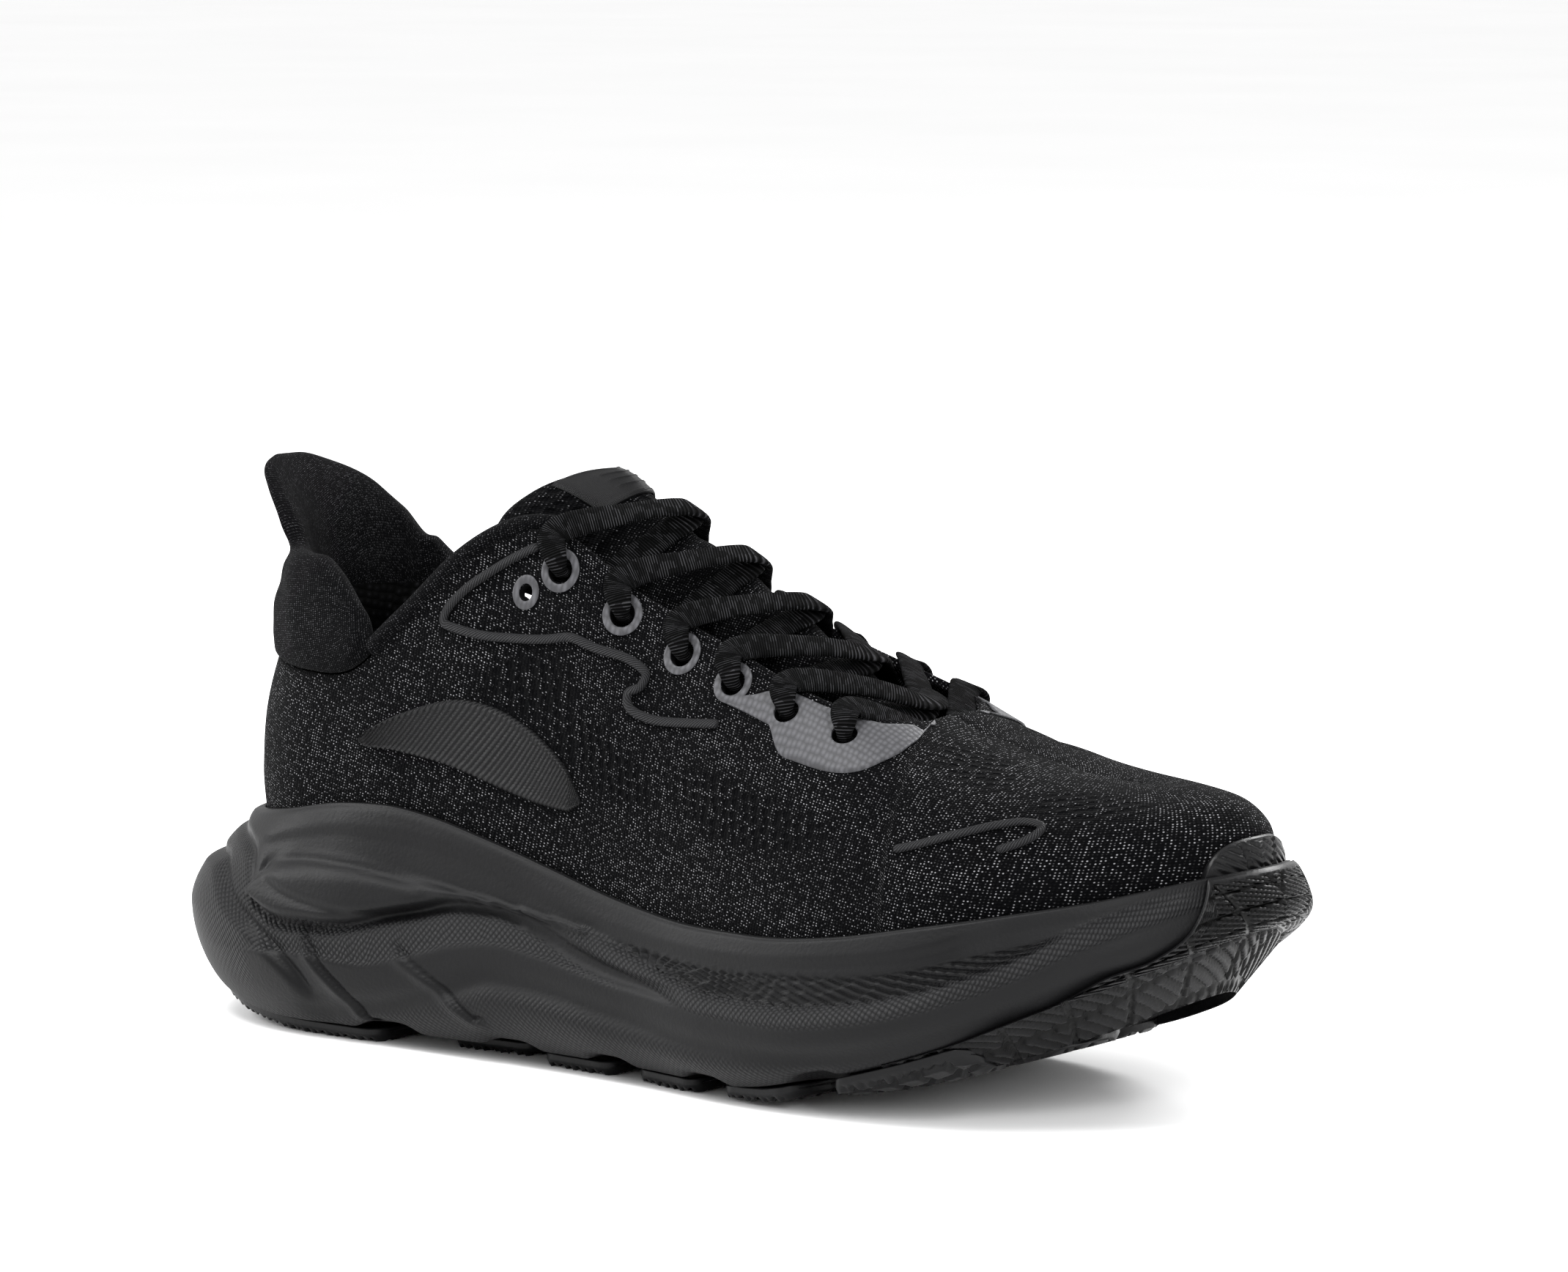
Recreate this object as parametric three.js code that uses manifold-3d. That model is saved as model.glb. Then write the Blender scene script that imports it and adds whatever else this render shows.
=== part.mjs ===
// A cushioned road-running shoe for the right foot, as the pieces it is made from.
// Millimetres. +X points to the toe, +Y to the inner (medial) side, +Z up; the origin is on the
// ground under the middle of the shoe. Every soft piece lies on one of a few named surfaces, so
// the shape follows from the curves below.
import * as THREE from "three";
import { mergeVertices } from "three/addons/utils/BufferGeometryUtils.js";
import Module from "manifold-3d";

const wasm = await Module();
wasm.setup();

const lateral = -1;
const medial = 1;
const fitGap = 0.35; // clear space between two pieces that touch
const knitThickness = 2.2;
const rubberThickness = 3.6;

// ---------- driving curves ----------

// Plan outline of the foam at its widest: heel, lateral side, toe tip, medial side.
const planPoints = [
  [-150, 0], [-146, -18], [-133, -34], [-112, -43.5], [-85, -46.5], [-55, -45.5], [-25, -45],
  [5, -48], [35, -54], [62, -57], [88, -54.5], [112, -45.5], [131, -31], [144, -12],
  [150, 10], [144.5, 29], [130, 43.5], [108, 52.5], [82, 57], [58, 55.5], [32, 49], [5, 43],
  [-25, 41.5], [-55, 43], [-85, 46], [-112, 43.5], [-133, 34], [-146, 18],
];
const planCurve = new THREE.CatmullRomCurve3(
  planPoints.map(([x, y]) => new THREE.Vector3(x, y, 0)), true, "centripetal");
planCurve.arcLengthDivisions = 800;

// Height of the outsole's underside along the shoe: heel bevel, flat, toe spring.
const groundKnots = [
  [-150, 24], [-144, 14.5], [-134, 7.2], [-120, 2.4], [-106, 0.4], [-96, 0], [20, 0], [34, 0.4],
  [48, 1.4], [60, 2.9], [75, 5.4], [90, 9], [102, 12.6], [113, 16.6], [123, 20.8], [136, 28],
  [142, 32], [150, 40],
];
// Height of the foam wall's lower edge.
const footKnots = [
  [-150, 28], [-144, 18.5], [-134, 11.2], [-120, 6.4], [-106, 4.4], [-96, 4], [34, 4], [46, 5],
  [60, 8], [75, 12], [100, 20.5], [117, 28.5], [127, 33], [136, 38], [150, 47],
];
// Height of the foam wall's top rim, and of its widest point.
const rimKnots = [
  [-150, 48], [-134, 49], [-120, 50.5], [-104, 53], [-88, 56], [-72, 57], [-58, 55.5], [-40, 51.5],
  [-20, 46.5], [0, 42], [20, 39.5], [44, 39.3], [70, 41.6], [90, 45.3], [110, 49], [125, 52],
  [140, 56], [150, 58],
];
const widestKnots = [
  [-150, 29], [-135, 27], [-110, 24], [-60, 20], [0, 15], [40, 15], [70, 21], [100, 30],
  [125, 39], [150, 49],
];
// Distance inwards from the plan outline to the rim, and to the lower edge of the wall.
const rimInsetKnots = [
  [-150, 16], [-133, 15], [-112, 11.5], [-85, 9.5], [-50, 7.5], [0, 6], [60, 5.2], [120, 4.2], [150, 3.8],
];
const footInsetKnots = [[-150, 5], [-133, 6], [-100, 7], [0, 7], [60, 6.5], [110, 6], [150, 6]];

// Middle of the last, side to side.
const centreKnots = [[-150, 0], [-50, 0], [0, -1], [50, 0], [80, 2], [110, 6], [150, 9]];

// Ribs of the upper from heel (0) to toe (1) along the sole's edge: the crown point each rib
// aims at (x, z), the height at which the knit stops (the crown itself past the throat), and the
// rib's roundness (1 is an ellipse, less is squarer).
const ribKnots = [
  { s: 0.0, x: -98, z: 175, top: 90, round: 1 },
  { s: 0.1, x: -98, z: 175, top: 88.5, round: 1 },
  { s: 0.2, x: -98, z: 175, top: 86, round: 1 },
  { s: 0.25, x: -98, z: 178, top: 87.5, round: 1 },
  { s: 0.3, x: -98, z: 180, top: 99.5, round: 1 },
  { s: 0.35, x: -92, z: 172, top: 113, round: 1 },
  { s: 0.4, x: -74, z: 158, top: 121.5, round: 1.03 },
  { s: 0.445, x: -60, z: 150, top: 124, round: 1.05 },
  { s: 0.47, x: -45, z: 142, top: 119.5, round: 1.1 },
  { s: 0.5, x: -29, z: 131, top: 112, round: 1.15 },
  { s: 0.55, x: -8, z: 121, top: 104.5, round: 1.2 },
  { s: 0.6, x: 11, z: 113, top: 98, round: 1.2 },
  { s: 0.65, x: 30, z: 103.5, top: 91.5, round: 1.15 },
  { s: 0.69, x: 50, z: 93, top: 87, round: 1.05 },
  { s: 0.72, x: 66, z: 85.2, top: 85.2, round: 0.98 },
  { s: 0.76, x: 80, z: 80.4, top: 80.4, round: 0.9 },
  { s: 0.82, x: 95, z: 76.2, top: 76.2, round: 0.82 },
  { s: 0.9, x: 108, z: 74, top: 74, round: 0.75 },
  { s: 1.0, x: 116, z: 73.4, top: 73.4, round: 0.7 },
];

// Height of the foot bed.
const bedKnots = [[-150, 38], [-50, 38], [0, 33], [55, 28], [100, 31.5], [130, 39], [150, 46]];

// ---------- curves and surfaces ----------

// A smooth curve through [position, value] knots; flat runs stay flat.
function curveAt(knots, x) {
  const last = knots.length - 1;
  const at = Math.min(Math.max(x, knots[0][0]), knots[last][0]);
  let i = 0;
  while (i < last - 1 && at > knots[i + 1][0]) i += 1;
  const rise = (k) => (knots[k + 1][1] - knots[k][1]) / (knots[k + 1][0] - knots[k][0]);
  const slope = (k) => {
    if (k === 0) return rise(0);
    if (k === last) return rise(last - 1);
    if (rise(k - 1) * rise(k) <= 0) return 0;
    const before = knots[k][0] - knots[k - 1][0];
    const after = knots[k + 1][0] - knots[k][0];
    return (rise(k - 1) * after + rise(k) * before) / (before + after);
  };
  const h = knots[i + 1][0] - knots[i][0];
  const t = (at - knots[i][0]) / h;
  return (
    (1 + 2 * t) * (1 - t) ** 2 * knots[i][1] + t * (1 - t) ** 2 * h * slope(i) +
    t * t * (3 - 2 * t) * knots[i + 1][1] + t * t * (t - 1) * h * slope(i + 1)
  );
}

const mix = (a, b, t) => a + (b - a) * t;
const clamp = (x, low, high) => Math.min(Math.max(x, low), high);
const range = (n) => Array.from({ length: n }, (_, i) => i);
const vec = (x, y, z) => new THREE.Vector3(x, y, z);
const smooth = (low, high, x) => {
  const t = clamp((x - low) / (high - low), 0, 1);
  return t * t * (3 - 2 * t);
};

// Share of the outline at which the toe tip lies.
const toeShare = (() => {
  let best = 0;
  for (let i = 400; i <= 600; i += 1) {
    const share = i / 1000;
    if (planCurve.getPointAt(share).x > planCurve.getPointAt(best).x) best = share;
  }
  return best;
})();

// Share of the whole outline for s on one side: 0 at the heel's centre, 1 at the toe tip.
function shareOf(side, s) {
  return side === lateral ? s * toeShare : 1 - s * (1 - toeShare);
}

// Point of the plan outline, moved inwards by an inset curve and a further amount.
function outline(side, s, insetKnots, extra = 0) {
  const share = ((shareOf(side, s) % 1) + 1) % 1;
  const point = planCurve.getPointAt(share);
  const tangent = planCurve.getTangentAt(share);
  const inset = curveAt(insetKnots, point.x) + extra;
  return vec(point.x - tangent.y * inset, point.y + tangent.x * inset, 0);
}

const ribs = Object.fromEntries(
  ["x", "z", "top", "round"].map((key) => [key, ribKnots.map((rib) => [rib.s, rib[key]])]));
const upperInset = 2; // the knit starts this far inside the foam's rim
const skirtInset = 2.9; // and moves in this much further on its way down to the foot bed
const upperSink = 3; // it leaves the foam this far below the rim

// How far the back of the heel moves out (+) or in (-) at each height.
const heelProfileKnots = [
  [45, 0], [60, 1.5], [75, 1], [88, -1.5], [96, -4], [104, -4.5], [112, -5], [120, -1.5],
  [127, 5], [134, 12],
];

// Rubber wraps up over the toe: foam and upper stand back under it by this much.
const wrapThickness = 1.7;
const toeRelief = (s) => (wrapThickness + fitGap) * smooth(0.76, 0.81, s);

function ribOf(side, s) {
  const base = outline(side, s, rimInsetKnots, upperInset + toeRelief(s));
  base.z = curveAt(rimKnots, base.x) - upperSink;
  const x = curveAt(ribs.x, s);
  const crown = vec(x, curveAt(centreKnots, x), curveAt(ribs.z, s));
  return { base, crown, round: curveAt(ribs.round, s), top: curveAt(ribs.top, s) };
}

// Angle round the rib, in radians, at which it reaches a height.
function angleAt({ base, crown, round }, z) {
  const up = clamp((z - base.z) / (crown.z - base.z), 0, 1);
  return Math.asin(Math.min(up ** (1 / round), 1));
}

function ribPoint(rib, s, angle) {
  const { base, crown, round } = rib;
  const cosine = Math.cos(angle);
  const across = Math.sign(cosine) * Math.abs(cosine) ** round;
  const up = Math.sin(Math.max(angle, 0)) ** round;
  const point = vec(
    mix(crown.x, base.x, across), mix(crown.y, base.y, across), mix(base.z, crown.z, up));
  const heel = 1 - smooth(0.06, 0.25, s);
  const out = vec(base.x - crown.x, base.y - crown.y, 0).normalize();
  return point.addScaledVector(out, curveAt(heelProfileKnots, point.z) * heel);
}

// Outer face of the upper: v is -1 on the foot bed, 0 where it leaves the foam and 1 at the
// knit's edge; above 1 it runs on towards the crown, which it reaches at 2.
function upperPoint(side, s, v) {
  const rib = ribOf(side, s);
  const edge = s > 0.715 ? Math.PI / 2 : angleAt(rib, rib.top);
  if (v > 1 && s <= 0.715) return ribPoint(rib, s, mix(edge, Math.PI / 2, v - 1));
  if (v >= 0) return ribPoint(rib, s, edge * v);
  const bed = outline(side, s, rimInsetKnots, upperInset + skirtInset + toeRelief(s));
  bed.z = curveAt(bedKnots, bed.x) + fitGap;
  return ribPoint(rib, s, 0).lerp(bed, -v);
}

// The same face by height, for the pieces round the heel.
function heelPoint(side, s, z) {
  const rib = ribOf(side, s);
  return ribPoint(rib, s, angleAt(rib, z));
}

// Unit normal of a face given as point(side, s, v), turned out of the shoe.
function normalOf(face, side, s, v, step = 0.004) {
  const at = clamp(s, 0.006, 0.99);
  const along = face(side, at + step, v).sub(face(side, at - step, v));
  const upward = face(side, s, v + step).sub(face(side, s, v - step));
  const normal = along.cross(upward).normalize();
  return side === lateral ? normal : normal.negate();
}

function onUpper(side, s, v, distance = 0) {
  const high = s > 0.715 ? Math.min(v, 0.97) : v;
  return upperPoint(side, s, v).addScaledVector(normalOf(upperPoint, side, s, high), distance);
}

// ---------- building solids ----------

function meshOf(points, index) {
  const geometry = new THREE.BufferGeometry();
  const positions = points.flatMap((p) => [p.x, p.y, p.z]);
  geometry.setAttribute("position", new THREE.Float32BufferAttribute(positions, 3));
  geometry.setIndex(index);
  return geometry;
}

// Solid through rings of points, its two ends closed with a strip that zips each ring shut.
function loft(rings) {
  const count = rings[0].length;
  const index = [];
  for (let i = 0; i + 1 < rings.length; i += 1) {
    for (let j = 0; j < count; j += 1) {
      const k = (j + 1) % count;
      const a = i * count;
      const b = a + count;
      index.push(a + j, a + k, b + k, a + j, b + k, b + j);
    }
  }
  const zip = (start, turned) => {
    for (let i = 0; i < count / 2; i += 1) {
      const corners = [i, i + 1, count - 1 - i, count - i].map((k) => start + (k % count));
      const [a, b, c, d] = turned ? [...corners].reverse() : corners;
      if (a !== d && b !== c && a !== b && c !== d) index.push(a, c, b, a, d, c);
      else if (new Set(corners).size === 3) {
        const [p, q, r] = [...new Set(turned ? [...corners].reverse() : corners)];
        index.push(p, r, q);
      }
    }
  };
  zip(0, false);
  zip((rings.length - 1) * count, true);
  return solid(meshOf(rings.flat(), index));
}

function solid(geometry) {
  const bare = geometry.clone();
  bare.deleteAttribute("normal");
  bare.deleteAttribute("uv");
  const merged = mergeVertices(bare, 1e-3);
  const vertProperties = new Float32Array(merged.attributes.position.array);
  const triVerts = new Uint32Array(merged.index.array);
  const made = new wasm.Manifold(new wasm.Mesh({ numProp: 3, vertProperties, triVerts }));
  if (made.volume() > 0) return made;
  for (let i = 0; i < triVerts.length; i += 3) {
    [triVerts[i + 1], triVerts[i + 2]] = [triVerts[i + 2], triVerts[i + 1]];
  }
  return new wasm.Manifold(new wasm.Mesh({ numProp: 3, vertProperties, triVerts }));
}

// Bar along a path of { at, up, wide, thick } stations, its section a flat octagon.
const roundedSection = [
  [-1, -0.45], [-0.7, -1], [0.7, -1], [1, -0.45], [1, 0.45], [0.7, 1], [-0.7, 1], [-1, 0.45],
];
function ribbon(stations, section = roundedSection) {
  return loft(stations.map(({ at, up, wide, thick }, i) => {
    const before = stations[Math.max(i - 1, 0)].at;
    const after = stations[Math.min(i + 1, stations.length - 1)].at;
    const tangent = after.clone().sub(before).normalize();
    const across = tangent.clone().cross(up).normalize();
    const over = across.clone().cross(tangent);
    return section.map(([a, b]) => at.clone()
      .addScaledVector(across, (a * wide) / 2).addScaledVector(over, (b * thick) / 2));
  }));
}

// Round bar lying on the upper along a smooth path of [s, v] points.
function piping(side, path, lift, wide, thick, steps) {
  const curve = new THREE.CatmullRomCurve3(path.map(([s, v]) => vec(s * 3, v, 0)), false, "centripetal");
  return ribbon(range(steps + 1).map((i) => {
    const p = curve.getPointAt(i / steps);
    const up = normalOf(upperPoint, side, p.x / 3, Math.min(p.y, 0.97));
    return { at: onUpper(side, p.x / 3, p.y, lift), up, wide, thick };
  }));
}

// Sheet of even thickness following the upper between s0 and s1, and v0(s) and v1(s).
function upperSheet(side, { s0, s1, v0, v1, out, inner, steps, rows, face = onUpper }) {
  return loft(range(steps + 1).map((i) => {
    const s = mix(s0, s1, i / steps);
    const [low, high] = [v0(s), v1(s)];
    const outer = range(rows + 1).map((j) => face(side, s, mix(low, high, j / rows), out));
    const inside = range(rows + 1).map((j) => face(side, s, mix(high, low, j / rows), inner));
    return [...outer, ...inside];
  }));
}

// Points all the way round the shoe, heel to toe on the lateral side and back on the medial.
function around(half, pointAt) {
  return [
    ...range(half).map((i) => pointAt(lateral, i / half)),
    ...range(half).map((i) => pointAt(medial, 1 - i / half)),
  ];
}

const group = new THREE.Group();
const made = {};
function add(name, shape, material) {
  const manifold = shape.setTolerance(0.01); // drops slivers left by joins and cuts
  const mesh = manifold.getMesh();
  const geometry = new THREE.BufferGeometry();
  geometry.setAttribute("position", new THREE.BufferAttribute(new Float32Array(mesh.vertProperties), 3));
  geometry.setIndex(new THREE.BufferAttribute(new Uint32Array(mesh.triVerts), 1));
  const node = new THREE.Mesh(geometry, material.clone());
  node.name = name;
  group.add(node);
  made[name] = manifold;
}

const paint = (color, roughness) => new THREE.MeshStandardMaterial({ color, roughness, metalness: 0 });
const knit = paint(0x1c1c1e, 0.95);
const softKnit = paint(0x222224, 0.95);
const foam = paint(0x262628, 0.6);
const rubber = paint(0x19191a, 0.75);
const film = paint(0x8c8c8e, 0.5);
const webbing = paint(0x202022, 0.9);
const board = paint(0x3a3a3c, 0.9);

// ---------- sole ----------

// Outer wall of the sole: w is 0 at its lower edge, 1 at the rim.
function wallPoint(side, s, w, out = 0) {
  const foot = outline(side, s, footInsetKnots, -out);
  foot.z = curveAt(footKnots, foot.x);
  if (w < 0) return foot.lerp(bottomPoint(side, s), -w);
  const widest = outline(side, s, [[-150, 0], [150, 0]], -out);
  widest.z = curveAt(widestKnots, widest.x);
  const rim = outline(side, s, rimInsetKnots, -out);
  rim.z = curveAt(rimKnots, rim.x);
  if (w < 0.45) {
    const t = w / 0.45;
    return vec(mix(foot.x, widest.x, Math.sin((t * Math.PI) / 2)),
      mix(foot.y, widest.y, Math.sin((t * Math.PI) / 2)), mix(foot.z, widest.z, t ** 1.25));
  }
  const t = (w - 0.45) / 0.55;
  return vec(mix(widest.x, rim.x, t ** 1.5), mix(widest.y, rim.y, t ** 1.5),
    mix(widest.z, rim.z, t ** 0.95));
}

const bottomInset = 11; // from the wall's lower edge to where the underside lies flat
function bottomPoint(side, s) {
  const p = outline(side, s, footInsetKnots, bottomInset);
  p.z = curveAt(groundKnots, p.x) + rubberThickness + 0.4;
  return p;
}

function makeMidsole() {
  const half = 44;
  const wall = (w) => around(half, (side, s) => wallPoint(side, s, w, -toeRelief(s)));
  const cavity = (extra, drop) => around(half, (side, s) => {
    const p = outline(side, s, rimInsetKnots, extra + toeRelief(s));
    p.z = drop === null ? curveAt(bedKnots, p.x) : curveAt(rimKnots, p.x) - drop;
    return p;
  });
  return loft([
    wall(-1), wall(-0.4), wall(0), wall(0.2), wall(0.45), wall(0.7), wall(0.9), wall(1),
    cavity(1.5, 0.3), cavity(1.6, 3.6), cavity(4.1, null),
  ]);
}

// How far the underside at (x, y) rises above the ground line towards the sole's edge.
function edgeRise(x, y) {
  const side = y < curveAt(centreKnots, x) ? lateral : medial;
  const gap = Math.abs(treadEdge(side, x, 0) - y);
  const rise = curveAt(footKnots, x) - curveAt(groundKnots, x) - rubberThickness - 0.4;
  return Math.max(rise, 0) * clamp(1 - gap / bottomInset, 0, 1);
}

// Rubber pad under the foam between x0 and x1; low(x) and high(x) are its edges in y.
function makePad(x0, x1, low, high, steps) {
  const columns = [0, 0.05, 0.3, 0.5, 0.7, 0.95, 1];
  return loft(range(steps + 1).map((i) => {
    const x = mix(x0, x1, i / steps);
    const taper = 1 - 0.3 * (i === 0 || i === steps);
    const middle = (low(x) + high(x)) / 2;
    const reach = ((high(x) - low(x)) / 2) * taper;
    const ground = curveAt(groundKnots, x);
    const at = (t, rise) => {
      const y = middle + (t * 2 - 1) * reach;
      return vec(x, y, ground + edgeRise(x, y) + rise);
    };
    const under = columns.map((t) => at(t, t === 0 || t === 1 ? 0.9 : 0));
    const over = [...columns].reverse().map((t) => at(t, rubberThickness - 0.2));
    return [...under, ...over];
  }));
}

// Half width of the tread at x, on one side.
function treadEdge(side, x, inset) {
  let best = outline(side, 0, footInsetKnots, inset);
  for (let i = 0; i <= 200; i += 1) {
    const p = outline(side, i / 200, footInsetKnots, inset);
    if (Math.abs(p.x - x) < Math.abs(best.x - x)) best = p;
  }
  return best.y;
}

const pads = [
  { name: "outsole_heel_lateral", x0: -138, x1: -72, side: lateral, inner: 7, steps: 10 },
  { name: "outsole_heel_medial", x0: -138, x1: -72, side: medial, inner: 7, steps: 10 },
  { name: "outsole_lateral_1", x0: -58, x1: -32, side: lateral, inner: 14, steps: 4, inset: 7 },
  { name: "outsole_lateral_2", x0: -26, x1: -2, side: lateral, inner: 20, steps: 4 },
  { name: "outsole_lateral_3", x0: 4, x1: 27, side: lateral, inner: 20, steps: 4 },
  { name: "outsole_lateral_4", x0: 33, x1: 58, side: lateral, inner: 22, steps: 4 },
  { name: "outsole_medial_1", x0: -58, x1: -30, side: medial, inner: 14, steps: 4, inset: 7 },
  { name: "outsole_medial_2", x0: -22, x1: 10, side: medial, inner: 20, steps: 4 },
  { name: "outsole_medial_3", x0: 17, x1: 50, side: medial, inner: 22, steps: 5 },
];

function makeSidePad({ x0, x1, side, inner, steps, inset = 0 }) {
  const edge = (x) => treadEdge(side, x, inset);
  const inside = () => side * inner;
  return side === lateral
    ? makePad(x0, x1, edge, inside, steps) : makePad(x0, x1, inside, edge, steps);
}

// Toe rubber: a plate under the toe joined to a band that climbs the wall and, at the tip, ends
// in a lobe over the foot of the upper.
function makeToeRubber() {
  const s0 = 0.812;
  const steps = 12;
  const band = (side, s) => {
    const high = 0.08 + 0.9 * smooth(0.84, 0.97, s);
    const levels = [-1, -0.5, 0, 0.25, 0.5, 0.75, 1].map((k) => (k < 0 ? k : k * high));
    const face = (w, out, drop) => {
      const p = wallPoint(side, s, w, w < 0 ? -toeRelief(s) : out);
      p.z -= w < 0 ? mix(0.5, drop, -w) : 0.5 * (w === 0);
      return p;
    };
    const outer = levels.map((w) => face(w, -fitGap, rubberThickness));
    outer[0].z += 0.6;
    outer[1].z -= 1.6;
    outer[2].z -= 1;
    const inner = levels.map((w) => face(w, -wrapThickness + 0.45, 0.5)).reverse();
    return [...outer, ...inner];
  };
  const rings = [
    ...range(steps).map((i) => band(lateral, mix(s0, 1, i / steps))),
    ...range(steps + 1).map((i) => band(medial, mix(1, s0, i / steps))),
  ];
  const edge = (side) => (x) => treadEdge(side, x, 9.5);
  const plate = makePad(108, 130, edge(lateral), edge(medial), 6);
  return loft(rings).add(plate);
}

function makeToeLobe() {
  const half = (side) => upperSheet(side, {
    s0: 0.955, s1: 1.003, v0: () => 0.09, v1: (s) => 0.09 + 0.13 * smooth(0.94, 0.98, s),
    out: 2, inner: 0.4, steps: 5, rows: 3,
  });
  return half(lateral).add(half(medial));
}

function makeSole() {
  add("midsole", makeMidsole(), foam);
  pads.forEach((pad) => add(pad.name, makeSidePad(pad), rubber));
  const edge = (side) => (x) => treadEdge(side, x, 0);
  add("outsole_forefoot_lateral", makePad(66, 101, edge(lateral), () => -22, 6), rubber);
  add("outsole_forefoot_medial", makePad(58, 97, () => 24, edge(medial), 7), rubber);
  add("outsole_forefoot_centre", makePad(40, 103, () => -17, () => 19, 8), rubber);
  add("outsole_toe", makeToeRubber(), rubber);
  add("toe_lobe", makeToeLobe(), rubber);
}

// ---------- foot bed ----------

// Plate on the foot bed, cut square across the shoe; lip raises its outer edge.
function bedPlate(inset, low, high, lip) {
  const stations = [-125, -117, -108, -96, -80, -60, -30, 0, 30, 60, 85, 105, 118, 127, 131];
  return loft(stations.map((x) => {
    const yl = bedEdge(lateral, x, inset);
    const ym = bedEdge(medial, x, inset);
    const bed = curveAt(bedKnots, x);
    const raise = lip * (1 - smooth(-20, 60, x));
    const row = (z) => [[yl, z + raise], [yl + 7, z], [ym - 7, z], [ym, z + raise]];
    return [...row(bed + high), ...row(bed + low).reverse()].map(([y, z]) => vec(x, y, z));
  }));
}

function bedEdge(side, x, inset) {
  let best = vec(1e9, 0, 0);
  for (let i = 0; i <= 300; i += 1) {
    const p = outline(side, i / 300, rimInsetKnots, inset + toeRelief(i / 300));
    if (Math.abs(p.x - x) < Math.abs(best.x - x)) best = p;
  }
  return best.y;
}

// ---------- upper ----------

// Where the laced holes sit: share along the side and share up the knit, toe to ankle.
const holes = [
  { s: 0.676, v: 0.865 }, { s: 0.634, v: 0.87 }, { s: 0.588, v: 0.87 }, { s: 0.543, v: 0.87 },
  { s: 0.493, v: 0.87 }, { s: 0.446, v: 0.86 },
];
const spareHole = { s: 0.412, v: 0.8 };
const holeRadius = 3.1;

function holeCutter(side, { s, v }, radius = holeRadius) {
  const normal = normalOf(upperPoint, side, s, v);
  const turn = new THREE.Quaternion().setFromUnitVectors(vec(0, 0, 1), normal);
  const shape = new THREE.CylinderGeometry(radius, radius, 12, 14).rotateX(Math.PI / 2);
  shape.applyQuaternion(turn);
  const at = onUpper(side, s, v);
  shape.translate(at.x, at.y, at.z);
  return solid(shape);
}

function makeKnit() {
  const half = (side) => {
    const sheet = upperSheet(side, {
      s0: -0.004, s1: 1.004, v0: () => -1, v1: (s) => (s > 0.715 ? 1.012 : 1), out: 0,
      inner: -knitThickness, steps: 44, rows: 8,
    });
    return [...holes, spareHole].reduce((left, hole) => left.subtract(holeCutter(side, hole)), sheet);
  };
  const pieces = half(lateral).add(half(medial)).decompose();
  return pieces.sort((a, b) => b.volume() - a.volume())[0];
}

// Height of the collar's top edge round the heel, by share along the side.
const collarTops = {
  [lateral]: [
    [0, 133.5], [0.03, 131.5], [0.07, 125.5], [0.11, 118], [0.15, 114], [0.18, 113], [0.21, 111.5],
    [0.235, 107.5], [0.255, 102], [0.272, 98],
  ],
  [medial]: [
    [0, 133.5], [0.03, 133.5], [0.07, 131], [0.1, 127.5], [0.13, 122.5], [0.16, 116.5],
    [0.19, 109], [0.22, 102.5], [0.25, 99], [0.272, 98],
  ],
};
const tabReach = { [lateral]: 0.125, [medial]: 0.16 };
const foldHeight = 112; // the pull tab folds back above this
const collarEnd = 0.272;
const collarTop = (side, s) => curveAt(collarTops[side], s);

// Outward move of the collar's outer face: the pillow swells, the tab flares at its tip.
function collarOut(side, s, z) {
  const low = ribOf(side, s).top;
  const top = collarTop(side, s);
  const t = clamp((z - low) / (Math.min(top, foldHeight) - low), 0, 1);
  const full = mix(1.4, 3.2, smooth(0, 0.12, s)) * (1 - smooth(0.24, 0.28, s) * 0.7);
  return 0.4 + full * Math.sin(Math.PI * t ** 0.8) ** 0.8;
}

function collarPoint(side, s, z, out) {
  const at = heelPoint(side, s, z);
  const rib = ribOf(side, s);
  const away = vec(rib.base.x - rib.crown.x, rib.base.y - rib.crown.y, 0).normalize();
  return at.addScaledVector(away, out);
}

function collarRing(side, s) {
  const low = ribOf(side, s).top + fitGap;
  const top = Math.min(collarTop(side, s), foldHeight);
  const at = (t, out) => collarPoint(side, s, mix(low, top, t), out);
  const outer = [0, 0.15, 0.4, 0.65, 0.88].map((t) => at(t, collarOut(side, s, mix(low, top, t))));
  const lip = [at(1, 0), at(1, -3)];
  const inner = [at(0.85, -5), at(0.5, -6), at(0.1, -6)];
  return [...outer, ...lip, ...inner];
}

function makeCollar() {
  const steps = 14;
  return loft([
    ...range(steps).map((i) => collarRing(lateral, mix(collarEnd, 0, i / steps))),
    ...range(steps + 1).map((i) => collarRing(medial, mix(0, collarEnd, i / steps))),
  ]);
}

// Pull tab above the fold.
function makeTab() {
  const steps = 9;
  const ring = (side, s) => {
    const low = foldHeight + 0.8;
    const top = Math.max(collarTop(side, s), low + 1.5);
    const at = (t, out) => collarPoint(side, s, mix(low, top, t), out);
    return [at(0, 1), at(0.35, 1.2), at(0.7, 1.5), at(0.92, 1.4), at(1, 0), at(1, -2), at(0.9, -3.6),
      at(0.5, -4.4), at(0.2, -4.6), at(0, -4.4)];
  };
  return loft([
    ...range(steps).map((i) => ring(lateral, mix(tabReach[lateral], 0, i / steps))),
    ...range(steps + 1).map((i) => ring(medial, mix(0, tabReach[medial], i / steps))),
  ]);
}

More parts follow.
